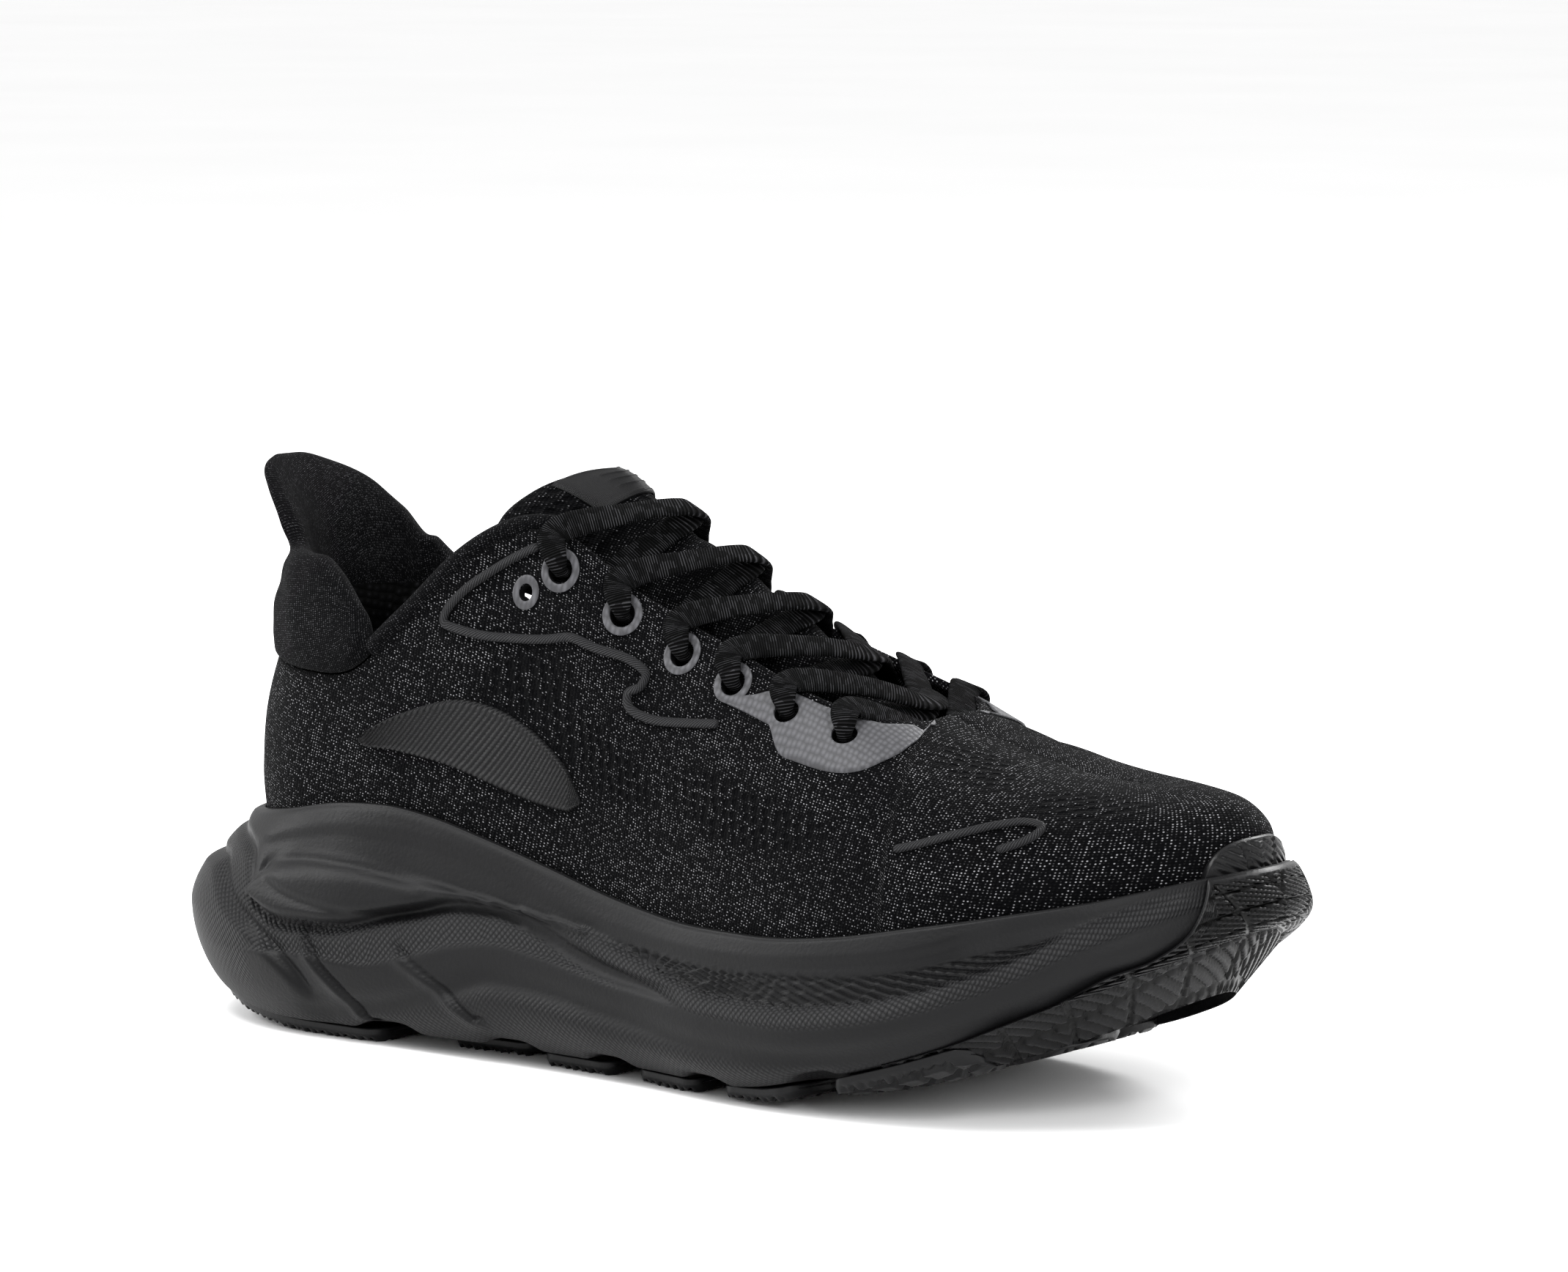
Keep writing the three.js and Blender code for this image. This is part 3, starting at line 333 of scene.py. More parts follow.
def spline(points, perSpan, closed=False):  # centripetal curve through points, as a dense line
    pts = np.array(points, float)
    count = len(pts)
    if not closed:
        pts = np.vstack([2 * pts[0] - pts[1], pts, 2 * pts[-1] - pts[-2]])
    line = []
    for i in range(count if closed else count - 1):
        p0, p1, p2, p3 = [pts[(i + k - 1) % count] if closed else pts[i + k] for k in range(4)]
        pairs = ((p0, p1), (p1, p2), (p2, p3))
        d0, d1, d2 = [max(np.linalg.norm(b - a) ** 0.5, 1e-4) for a, b in pairs]
        t1 = ((p1 - p0) / d0 - (p2 - p0) / (d0 + d1) + (p2 - p1) / d1) * d1
        t2 = ((p2 - p1) / d1 - (p3 - p1) / (d1 + d2) + (p3 - p2) / d2) * d1
        t = np.linspace(0, 1, perSpan, endpoint=False)[:, None]
        square = (3 * (p2 - p1) - 2 * t1 - t2) * t**2
        line.append(p1 + t1 * t + square + (2 * (p1 - p2) + t1 + t2) * t**3)
    line.append(pts[:1] if closed else pts[-2:-1])
    return np.vstack(line)


def lengths(line):
    return np.concatenate([[0], np.cumsum(np.linalg.norm(np.diff(line, axis=0), axis=1))])


planLine = spline(planPoints, 200, True)
planLength = lengths(planLine)
sideLength = [planLength[-1] * last["toeShare"], planLength[-1] * (1 - last["toeShare"])]


def planAt(share):
    at = np.mod(share, 1) * planLength[-1]
    return np.interp(at, planLength, planLine[:, 0]), np.interp(at, planLength, planLine[:, 1])


def shareOf(side, s):  # share of the whole outline for s on a side: 0 heel's middle, 1 toe tip
    return np.where(np.asarray(side) < 0, s * last["toeShare"], 1 - s * (1 - last["toeShare"]))


def outline(side, s, insetKnots, extra):
    share = shareOf(side, s)
    x, y = planAt(share)
    (x0, y0), (x1, y1) = planAt(share - 0.0006), planAt(share + 0.0006)
    long = np.hypot(x1 - x0, y1 - y0)
    inset = curveAt(insetKnots, x) + extra
    return x - (y1 - y0) / long * inset, y + (x1 - x0) / long * inset


def toeRelief(s):
    return last["toeRelief"] * smooth(0.76, 0.81, s)


def ribOf(side, s):
    bx, by = outline(side, s, rimInsetKnots, last["upperInset"] + toeRelief(s))
    bz = curveAt(rimKnots, bx) - last["upperSink"]
    cx, cz, top, rounded = [curveAt(ribKnots[:, [0, k]], s) for k in (1, 2, 3, 4)]
    return vectors(bx, by, bz), vectors(cx, curveAt(centreKnots, cx), cz), top, rounded


def angleAt(rib, z):
    base, crown, _, rounded = rib
    up = np.clip((z - base[..., 2]) / (crown[..., 2] - base[..., 2]), 0, 1)
    return np.arcsin(np.minimum(up ** (1 / rounded), 1))


def ribPoint(rib, s, angle):
    base, crown, _, rounded = rib
    cosine = np.cos(angle)
    across = np.sign(cosine) * np.abs(cosine) ** rounded
    up = np.sin(np.maximum(angle, 0)) ** rounded
    point = vectors(
        mix(crown[..., 0], base[..., 0], across), mix(crown[..., 1], base[..., 1], across),
        mix(base[..., 2], crown[..., 2], up))
    out = unit((base - crown) * [1, 1, 0])
    heel = curveAt(heelProfileKnots, point[..., 2]) * (1 - smooth(0.06, 0.25, s))
    return point + out * heel[..., None]


def upperPoint(side, s, v):  # v is -1 on the foot bed, 0 at the foam's rim, 1 at the knit's edge
    side, s, v = np.broadcast_arrays(side, s, v)
    rib = ribOf(side, s)
    vamp = s > last["vampStart"]
    edge = np.where(vamp, np.pi / 2, angleAt(rib, rib[2]))
    above = np.where(vamp, edge * v, edge + (np.pi / 2 - edge) * (v - 1))
    point = ribPoint(rib, s, np.where(v > 1, above, edge * np.maximum(v, 0)))
    x, y = outline(side, s, rimInsetKnots, last["upperInset"] + last["skirtInset"] + toeRelief(s))
    bed = vectors(x, y, curveAt(bedKnots, x) + last["gap"])
    return np.where((v < 0)[..., None], point + (bed - point) * np.maximum(-v, 0)[..., None], point)


def normalOf(face, side, s, v):
    step = 0.004
    at = np.clip(s, 0.006, 0.99)
    along = face(side, at + step, v) - face(side, at - step, v)
    upward = face(side, s, v + step) - face(side, s, v - step)
    return unit(np.cross(along, upward)) * -np.asarray(side, float)[..., None]


def onUpper(side, s, v, distance=0.0):
    side, s, v, distance = np.broadcast_arrays(np.asarray(side, float), s, v, distance)
    high = np.where(s > last["vampStart"], np.minimum(v, 0.97), v)
    return upperPoint(side, s, v) + normalOf(upperPoint, side, s, high) * distance[..., None]


def bottomPoint(side, s):
    x, y = outline(side, s, footInsetKnots, last["bottomInset"])
    return vectors(x, y, curveAt(groundKnots, x) + last["rubber"] + 0.4)


def wallPoint(side, s, w, out):  # w is 0 at the wall's lower edge, 0.45 widest, 1 at the rim
    side, s, w, out = np.broadcast_arrays(np.asarray(side, float), s, w, out)
    fx, fy = outline(side, s, footInsetKnots, -out)
    wx, wy = outline(side, s, noInset, -out)
    rx, ry = outline(side, s, rimInsetKnots, -out)
    foot = vectors(fx, fy, curveAt(footKnots, fx))
    widest = vectors(wx, wy, curveAt(widestKnots, wx))
    rim = vectors(rx, ry, curveAt(rimKnots, rx))
    low = np.clip(w / 0.45, 0, 1)
    high = np.clip((w - 0.45) / 0.55, 0, 1)
    turn = vectors(np.sin(low * np.pi / 2), np.sin(low * np.pi / 2), low**1.25)
    lean = vectors(high**1.5, high**1.5, high**0.95)
    point = foot + (widest - foot) * turn + (rim - widest) * lean
    under = (bottomPoint(side, s) - foot) * np.clip(-w, 0, 1)[..., None]
    return point + under


# Every piece is a grid whose points are placed by its own function of u and v, both 0 to 1.
def gridPiece(name, columns, rows, place, material, replaces, body="shoe", smoothing=0):
    form = bmesh.new()
    uvs = form.loops.layers.uv.new("UVMap")
    bmesh.ops.create_grid(form, x_segments=columns, y_segments=rows, size=0.5)
    flat = np.array([v.co[:2] for v in form.verts]) + 0.5
    made = place(flat[:, 0], flat[:, 1])
    points, zones = made if isinstance(made, tuple) else (made, {})
    order = np.lexsort((flat[:, 0].round(5), flat[:, 1].round(5)))
    wide = len(np.unique(flat[:, 0].round(5)))
    lines = points[order].reshape(-1, wide, 3)
    closeSeams(lines)
    points[order] = lines.reshape(-1, 3)
    middle = lines[len(lines) // 2]
    along = lengths(middle)
    steps = np.linalg.norm(np.diff(lines, axis=0), axis=2)
    up = np.vstack([np.zeros(wide), np.cumsum(steps, axis=0)])
    uv = np.empty((len(flat), 2))
    uv[order, 0] = np.tile(along, len(lines))
    uv[order, 1] = up.ravel()
    for key, values in zones.items():
        layer = form.verts.layers.float.new(key)
        for vert, value in zip(form.verts, values):
            vert[layer] = value
    for face in form.faces:
        for loop in face.loops:
            loop[uvs].uv = uv[loop.vert.index]
    for vert, point in zip(form.verts, points * mm):
        vert.co = point
    weld(form)
    for _ in range(smoothing):
        bmesh.ops.smooth_vert(
            form, verts=form.verts, factor=0.5, use_axis_x=True, use_axis_y=True, use_axis_z=True)
    return finishPiece(name, form, material, body, replaces)


def closeSeams(lines):  # the first and last columns, and rows, meet where they lie side by side
    for first, final in ((lines[:, 0], lines[:, -1]), (lines[0], lines[-1])):
        if np.linalg.norm(first - final, axis=1).max() < 1.5:
            first[:] = final[:] = (first + final) / 2


def weld(form):  # joins what meets, and drops the walls left where two sheets met
    seen = {}
    for face in form.faces:
        corners = frozenset(tuple(round(c, 6) for c in v.co) for v in face.verts)
        seen.setdefault(corners, []).append(face)
    twins = [face for key, group in seen.items() if len(key) > 2 and len(group) > 1 for face in group]
    if twins:
        bmesh.ops.delete(form, geom=twins, context="FACES")
    bmesh.ops.remove_doubles(form, verts=form.verts, dist=2e-6)
    loose = [v for v in form.verts if not v.link_faces]
    if loose:
        bmesh.ops.delete(form, geom=loose, context="VERTS")
    rim = [edge for edge in form.edges if len(edge.link_faces) == 1]
    if rim:
        bmesh.ops.holes_fill(form, edges=rim, sides=0)
    bmesh.ops.recalc_face_normals(form, faces=form.faces)


def finishPiece(name, form, material, body, replaces):
    for face in form.faces:
        face.smooth = True
    mesh = bpy.data.meshes.new(name)
    form.to_mesh(mesh)
    unpaired = sum(1 for edge in form.edges if len(edge.link_faces) != 2)
    form.free()
    piece = bpy.data.objects.new(name, mesh)
    bpy.context.scene.collection.objects.link(piece)
    mesh.materials.append(material)
    if body:
        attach(piece, body)
    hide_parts(*replaces)
    print(f"  {name}: {len(mesh.polygons)} faces, {unpaired} unpaired edges")
    return piece


def pairMean(u, v, values):  # mean over the points that mirror each other across the middle line
    mirrored = v.round(5) * 10000 + np.minimum(u, 1 - u).round(5)
    _, pair = np.unique(mirrored, return_inverse=True)
    return (np.bincount(pair, values) / np.bincount(pair))[pair]


def sidesOf(u):  # u runs heel, lateral, toe, medial, heel
    return np.where(u < 0.5, -1.0, 1.0), np.where(u < 0.5, 2 * u, 2 - 2 * u)


def ribbonPlace(line, up, wide, thick, roundness):  # a strip along a line, its ends rounded
    total = lengths(line)

    def place(u, v):
        at = u * total[-1]
        centre = np.stack([np.interp(at, total, line[:, k]) for k in range(3)], -1)
        ahead = np.stack([np.interp(at + 0.4, total, line[:, k]) for k in range(3)], -1)
        behind = np.stack([np.interp(at - 0.4, total, line[:, k]) for k in range(3)], -1)
        rise = np.stack([np.interp(at, total, up[:, k]) for k in range(3)], -1)
        along = unit(ahead - behind)
        across = unit(np.cross(along, rise))
        over = np.cross(across, along)
        share = np.clip(np.minimum(u, 1 - u) * total[-1] / 1.2, 0, 1)
        cap = np.sqrt(1 - (1 - share) ** 2)
        w = np.interp(at, total, np.broadcast_to(wide, len(line))) * cap
        t = np.interp(at, total, np.broadcast_to(thick, len(line))) * cap
        turn = v * math.tau
        side = np.sign(np.cos(turn)) * np.abs(np.cos(turn)) ** roundness
        top = np.sign(np.sin(turn)) * np.abs(np.sin(turn)) ** roundness
        return centre + across * (side * w / 2)[:, None] + over * (top * t / 2)[:, None]

    return place


# Compression-moulded EVA foam: satin skin, with the mould's fine dotted texture in some bands, its raised
# dots painted lighter as a painted highlight.
foam = {
    "columns": 800, "rows": 122, "dotWide": 1.25, "dotTall": 1.1, "dotTurn": 38, "grain": 0.9,
    "tones": [(0.1, "#0a0a0b"), (0.45, "#121213"), (0.9, "#2a2a2b")],
}


def foamMaterial():
    material, tree, shader = newMaterial("moulded EVA foam", "#111112", 0.4, Specular_IOR_Level=0.13)
    dots = node(
        tree, "ShaderNodeTexVoronoi", {"voronoi_dimensions": "2D"},
        Vector=surfaceCoords(tree, foam["dotWide"], foam["dotTall"], foam["dotTurn"]), Scale=1.0,
        Randomness=0.0)
    zone = node(tree, "ShaderNodeAttribute", {"attribute_name": "dots"}).outputs["Fac"]
    grain = node(
        tree, "ShaderNodeTexNoise", Vector=objectCoords(tree, foam["grain"]), Scale=1.0, Detail=3.0)
    # the dots stand out in the bump and are painted lighter in the colour: a painted highlight
    dotsRaisedAndLit = maths(tree, "MULTIPLY", maths(tree, "SUBTRACT", 0.62, dots.outputs["Distance"]), zone)
    height = maths(tree, "ADD", dotsRaisedAndLit, maths(tree, "MULTIPLY", grain.outputs["Fac"], 0.14))
    bump(tree, shader, height, 0.9, 0.75)
    cloud = node(tree, "ShaderNodeTexNoise", Vector=objectCoords(tree, 30), Scale=1.0, Detail=3.0)
    tone = maths(tree, "MULTIPLY_ADD", cloud.outputs["Fac"], 0.5, dotsRaisedAndLit)
    tree.links.new(ramp(tree, tone, foam["tones"]), shader.inputs["Base Color"])
    rough = node(
        tree, "ShaderNodeMapRange", Value=cloud.outputs["Fac"], From_Min=0.3, From_Max=0.7,
        To_Min=0.44, To_Max=0.58).outputs[0]
    tree.links.new(rough, shader.inputs["Roughness"])
    return material


# Lines across the wall of the foam, as [distance round from the heel, height].
soleLines = {
    "eyeTop": [[64, 33.8], [68, 39.7], [80, 43.4], [95, 44.1], [112, 42.1], [134, 39.1], [168, 34]],
    "eyeLow": [[64, 33.6], [73, 29.1], [88, 28.4], [100, 30.1], [114, 34], [132, 37.4], [168, 33.8]],
    "bandLow": [
        [0, 44], [25, 46.2], [62, 45], [74, 47.4], [94, 50.3], [111, 50.1], [130, 47.5], [148, 42.1],
        [168, 36.7], [188, 34.1], [210, 33.3], [245, 36.1], [269, 40], [290, 46.2], [311, 49.6],
        [334, 54], [352, 56],
    ],
    "flame": [[100, 31], [114, 33.6], [132, 36.6], [143, 35.9], [155, 32.4], [168, 27.8], [200, 23.5]],
    "zoneLow": [
        [60, 20], [86, 21], [101, 20.2], [114, 22.9], [129, 27.3], [142, 28.7], [151, 27.8], [179, 23.3]],
    "smoothLow": [
        [90, 9], [104, 11.5], [125, 16.7], [143, 21.6], [157, 20.8], [182, 17.6], [213, 15],
        [250, 17], [280, 24], [310, 36]],
    "stripe": [
        [168, 33.8], [190, 28.3], [212, 24.4], [239, 24.8], [259, 28.1], [277, 33.3], [291, 38.6],
        [301, 43.3], [315, 48.3], [334, 53.4]],
    "ridge": [
        [168, 34.7], [189, 32.1], [211, 30.9], [233, 32.1], [250, 33.2], [266, 35.8], [280, 39.4],
        [297, 43.4], [315, 49]],
    "lobeOuter": [[0, 37], [41, 37.9], [50, 34], [56, 29.8], [67, 24.6], [80, 16.5], [86, 11]],
    "lobeInner": [[0, 46], [25, 46], [45, 44.6], [54, 42.9], [60, 40], [64, 35]],
    "cutBack": [[84, 27], [88.4, 21.1], [98.5, 11.1], [103, 5]],
    "cutFront": [[113, 25], [123.4, 19.1], [135.7, 10.6]],
}
# Arches in the foam's lower edge: distance round, half width, height.
notches = [(107, 8, 3.2), (143.5, 7, 2.6), (174, 6, 2.6), (206, 6.5, 2.8), (240, 6, 2.4)]


def distanceTo(key, a, z):  # height above a line across the wall, squared up to its slope
    knots = soleLines[key]
    slope = (curveAt(knots, a + 1) - curveAt(knots, a - 1)) / 2
    return (z - curveAt(knots, a)) / np.sqrt(1 + np.clip(slope, -3, 3) ** 2)


def ends(key, a, fade):
    knots = soleLines[key]
    return smooth(knots[0][0] - fade, knots[0][0] + fade, a) * (
        1 - smooth(knots[-1][0] - fade, knots[-1][0] + fade, a))


def soleRelief(a, z):
    above = distanceTo("bandLow", a, z)
    relief = 1.0 * smooth(-1.2, 1.6, above) - 0.5 * smooth(3, 9, above)
    # rear lobes, each standing out over the next
    outer = distanceTo("lobeOuter", a, z)
    heel = 1 - smooth(80, 92, a)
    relief += heel * (1.5 * smooth(1.6, -1.8, outer) - 1.1 * np.exp(-((outer - 1.4) / 1.3) ** 2))
    inner = distanceTo("lobeInner", a, z)
    rear = 1 - smooth(58, 66, a)
    relief -= rear * 1.5 * np.exp(-((inner - 0.6) / 1.4) ** 2)
    # teardrop pod
    low, high = curveAt(soleLines["eyeLow"], a), curveAt(soleLines["eyeTop"], a)
    t = (z - low) / np.maximum(high - low, 0.8)
    inside = ends("eyeTop", a, 1.5) * smooth(0, 6, high - low + 4)
    hump = smooth(-0.04, 0.2, t) * (1 - smooth(0.62, 1.12, t))
    relief += 2.7 * inside * hump
    ring = np.hypot((a - 96) / 27, (z - 37.5 + 0.05 * (a - 96)) / 5.2)
    relief -= 0.9 * np.exp(-((ring - 1) / 0.16) ** 2) * (a > 66)
    under = distanceTo("eyeLow", a, z)
    shade = ends("eyeLow", a, 3) * (1 - smooth(112, 128, a))
    relief -= 2.0 * shade * np.exp(-((under + 1.1) / 1.0) ** 2)
    # smooth channel that runs on from under the pod
    flame = distanceTo("flame", a, z)
    relief -= 1.2 * ends("flame", a, 8) * np.exp(-(flame / 1.7) ** 4)
    # lower waves
    wave = distanceTo("zoneLow", a, z)
    relief += 0.8 * ends("zoneLow", a, 14) * smooth(0.9, -0.9, wave)
    swell = distanceTo("smoothLow", a, z)
    relief -= 0.9 * ends("smoothLow", a, 16) * np.exp(-((swell + 1) / 2.2) ** 2)
    relief += 0.8 * ends("smoothLow", a, 16) * smooth(-2, -7, swell)
    # slanting cuts between the lobes
    for key, side in (("cutBack", 1.3), ("cutFront", 1.0)):
        gap = distanceTo(key, a, z)
        start, stop = soleLines[key][0][0] - 3, soleLines[key][-1][0] + 1
        held = smooth(0, 4, a - start) * (1 - smooth(0, 4, a - stop))
        relief -= held * side * np.exp(-((gap - 0.3) / 0.55) ** 2)
        relief += held * 0.9 * np.exp(-((gap + 1.4) / 1.5) ** 2)
    # fanned ridges above the dotted stripe
    top, foot = curveAt(soleLines["ridge"], a), curveAt(soleLines["stripe"], a)
    t = (top - z) / np.maximum(top - foot, 0.6)
    fan = smooth(-0.15, 0.1, t) * (1 - smooth(0.8, 1.0, t))
    fan = fan * smooth(172, 186, a) * (1 - smooth(296, 308, a))
    slant = 34 - 18 * smooth(190, 290, a)
    phase = (a - slant * t) / 5.2
    saw = np.mod(phase, 1)
    relief += fan * (1.7 * saw**1.5 - 1.2)
    stripe = distanceTo("stripe", a, z)
    relief += 0.8 * ends("stripe", a, 12) * np.exp(-((stripe + 1.4) / 2.0) ** 4)
    return relief


def dottedZones(a, z):
    under = distanceTo("flame", a, z) + 2
    zone = smooth(0.5, -0.5, under) * smooth(-0.6, 0.6, distanceTo("zoneLow", a, z))
    middle = zone * smooth(66, 74, a) * (1 - smooth(176, 186, a))
    stripe = np.exp(-((distanceTo("stripe", a, z) + 1.2) / 2.6) ** 6) * ends("stripe", a, 10)
    low = smooth(-2, -5, distanceTo("smoothLow", a, z)) * 0.35
    heel = smooth(0.5, -2, distanceTo("lobeInner", a, z)) * (1 - smooth(62, 70, a))
    heel = heel * smooth(-18, -4, distanceTo("lobeOuter", a, z))
    return np.clip(middle + 1.3 * stripe + low + 0.8 * heel, 0, 1.4)


def solePlace(u, v):
    side, s = sidesOf(u)
    a = s * np.where(side < 0, sideLength[0], sideLength[1])
    w = np.interp(v, [0, 0.1, 0.17, 0.83, 0.86], [-1, -1, 0, 1, 1])
    point = wallPoint(side, s, w, -toeRelief(s))
    wall = smooth(-0.25, 0.02, w) * (1 - smooth(0.97, 1.0, w)) * (v < 0.84)
    covered = 1 - smooth(0.955, 0.97, s)
    push = soleRelief(a, point[:, 2]) * wall * mix(0.15, 1, covered)
    x0, y0 = outline(side, s, footInsetKnots, 0)
    x1, y1 = outline(side, s, footInsetKnots, -1)
    out = vectors(x1 - x0, y1 - y0, 0 * x0)
    point = point + out * (push * (1 - 0.6 * smooth(0.75, 1, w)))[:, None]
    point[:, 2] += 0.5 * push * smooth(0.6, 1, w)
    lift = sum(h * np.exp(-(np.abs(a - at) / half) ** 4) for at, half, h in notches)
    point[:, 2] += lift * (1 - smooth(-0.1, 0.2, w)) * smooth(-1.05, -0.2, w)

    def ring(extra, knots, drop):  # a line round the foot space, inwards from the rim
        x, y = outline(side, s, rimInsetKnots, extra + toeRelief(s))
        return vectors(x, y, curveAt(knots, x) - drop)

    # rounded rim, cavity wall and floor, all closed on the middle line
    rimHigh, insideTop = ring(1.2, rimKnots, -0.1), ring(1.7, rimKnots, 3.4)
    floorEdge = ring(4.2, bedKnots, 0)
    steps = [
        (0.84, 0.87, point, rimHigh), (0.87, 0.9, rimHigh, insideTop), (0.9, 0.94, insideTop, floorEdge)]
    for low, high, begin, end in steps:
        t = np.clip((v - low) / (high - low), 0, 1)[:, None]
        point = np.where((v > low)[:, None], begin + (end - begin) * t, point)
    inward = np.clip((v - 0.94) / 0.06, 0, 1) + np.clip((0.1 - v) / 0.1, 0, 1)
    centre = point.copy()
    centre[:, 0] = pairMean(u, v, point[:, 0])
    centre[:, 2] = pairMean(u, v, point[:, 2])
    centre[:, 1] = curveAt(centreKnots, centre[:, 0])
    point += (centre - point) * inward[:, None]
    zones = dottedZones(a, point[:, 2]) * (v > 0.12) * (v < 0.83)
    return point, {"dots": zones}


def makeSole():
    gridPiece(
        "foam_sole", foam["columns"], foam["rows"], solePlace, foamMaterial(), replaces=["midsole"])


# Blown carbon rubber, moulded: darker and a little greasier than the foam, scuff-grained; its sipes and
# grooves are painted darker, painted shade.
rubberTones = [(0.0, "#010101"), (0.3, "#080809"), (0.7, "#101011")]


def rubberMaterial():
    material, tree, shader = newMaterial(
        "moulded carbon rubber", "#0a0a0b", 0.34, Specular_IOR_Level=0.15)
    grain = node(tree, "ShaderNodeTexNoise", Vector=objectCoords(tree, 1.1), Scale=1.0, Detail=4.0)
    bump(tree, shader, grain.outputs["Fac"], 0.25, 0.3)
    cloud = node(tree, "ShaderNodeTexNoise", Vector=objectCoords(tree, 14), Scale=1.0, Detail=3.0)
    # painted shade: where the toe rubber is cut, its colour is darkened
    cutShade = node(tree, "ShaderNodeAttribute", {"attribute_name": "cut"}).outputs["Fac"]
    tone = maths(tree, "SUBTRACT", cloud.outputs["Fac"], cutShade)
    tree.links.new(ramp(tree, tone, rubberTones), shader.inputs["Base Color"])
    return material


treads = {
    # node: x from and to, y from and to (None is the edge of the foam), size of a lug
    "outsole_heel_lateral": (-138, -72, None, -7, 7.5),
    "outsole_heel_medial": (-138, -72, 7, None, 7.5),
    "outsole_lateral_1": (-58, -32, None, -14, 6),
    "outsole_lateral_2": (-26, -2, None, -20, 6),
    "outsole_lateral_3": (4, 27, None, -20, 6),
    "outsole_lateral_4": (33, 58, None, -22, 6),
    "outsole_medial_1": (-58, -30, 14, None, 6),
    "outsole_medial_2": (-22, 10, 20, None, 6),
    "outsole_medial_3": (17, 50, 22, None, 6),
    "outsole_forefoot_lateral": (66, 101, None, -22, 7),
    "outsole_forefoot_medial": (58, 97, 24, None, 7),
    "outsole_forefoot_centre": (40, 103, -17, 19, 8),
}


def edgeAt(side, x, insetKnots, inset, relief):  # y of a side's outline at x, but for its very ends
    s = np.linspace(0, 1, 900)[20:880]
    ex, ey = outline(side, s, insetKnots, inset + relief * toeRelief(s))
    order = np.argsort(ex)
    return np.interp(x, ex[order], ey[order])


def treadEdge(side, x, inset):
    return edgeAt(side, x, footInsetKnots, inset, 0)


def padPlace(x0, x1, low, high, lug, inset):
    def place(u, v):
        x = mix(x0, x1, u)
        y0 = treadEdge(-1, x, inset) if low is None else np.full_like(x, low)
        y1 = treadEdge(1, x, inset) if high is None else np.full_like(x, high)
        end = np.minimum(u, 1 - u) * (x1 - x0)
        reach = (1 - (1 - np.clip(end / 6, 0, 1)) ** 3) ** 0.5
        across = np.interp(v, [0, 0.62, 0.68, 0.94, 1], [-1, 1, 1, -1, -1])
        y = (y0 + y1) / 2 + across * (y1 - y0) / 2 * reach
        top = np.interp(v, [0, 0.03, 0.59, 0.62, 0.68, 0.94, 1], [0.5, 0, 0, 0.5, 1, 1, 0.5])
        edge = np.where(y < curveAt(centreKnots, x), treadEdge(-1, x, 0), treadEdge(1, x, 0))
        rise = np.maximum(curveAt(footKnots, x) - curveAt(groundKnots, x) - last["rubber"] - 0.4, 0)
        rise = rise * np.clip(1 - np.abs(edge - y) / last["bottomInset"], 0, 1)
        grooves = np.minimum(
            np.abs(np.mod(x / lug + 0.25 * np.sin(y / 5), 1) - 0.5), np.abs(np.mod(y / lug, 1) - 0.5))
        cut = 1.5 * smooth(0.16, 0.08, grooves) * (top < 0.02) * smooth(0, 2.5, end)
        rim = smooth(2.6, 1.2, np.minimum(y - y0, y1 - y)) * (top < 0.6)
        teeth = 1.3 * smooth(0.3, 0.18, np.abs(np.mod(x / 2.5, 1) - 0.5)) * rim
        cut = np.maximum(cut, teeth)
        z = curveAt(groundKnots, x) + rise + np.maximum(top * (last["rubber"] - 0.2), cut)
        z = z + 0.9 * (1 - smooth(0, 2, end)) * (top < 0.6)
        return vectors(x, y, z)
    return place


# Rubber that wraps up over the toe, its face cut by slanting sipes and crossed by grooves.
toeRubber = {
    "start": 0.72,  # share of the outline where it begins
    "border": [  # its top edge, as [distance round, height]
        [250, 9], [275, 15.5], [300, 28.8], [312, 36], [325, 40.6], [333, 46.5], [337, 52], [341, 60]],
}


def sipes(a, high, side):  # depth of cut, 0 to 1
    slant = np.abs(np.mod((a * 0.5 - high * side) / 2.3, 1) - 0.5)
    fine = smooth(0.24, 0.12, slant)
    bow = high - 7 * np.exp(-((a - 352) / 34) ** 2)
    cross = smooth(0.075, 0.045, np.abs(np.mod(bow / 9.5 + 0.2, 1) - 0.5))
    down = smooth(0.06, 0.035, np.abs(np.mod((a - 352 + 0.35 * high) / 16 + 0.5, 1) - 0.5))
    return np.maximum(0.65 * fine, np.maximum(cross, 0.9 * down))


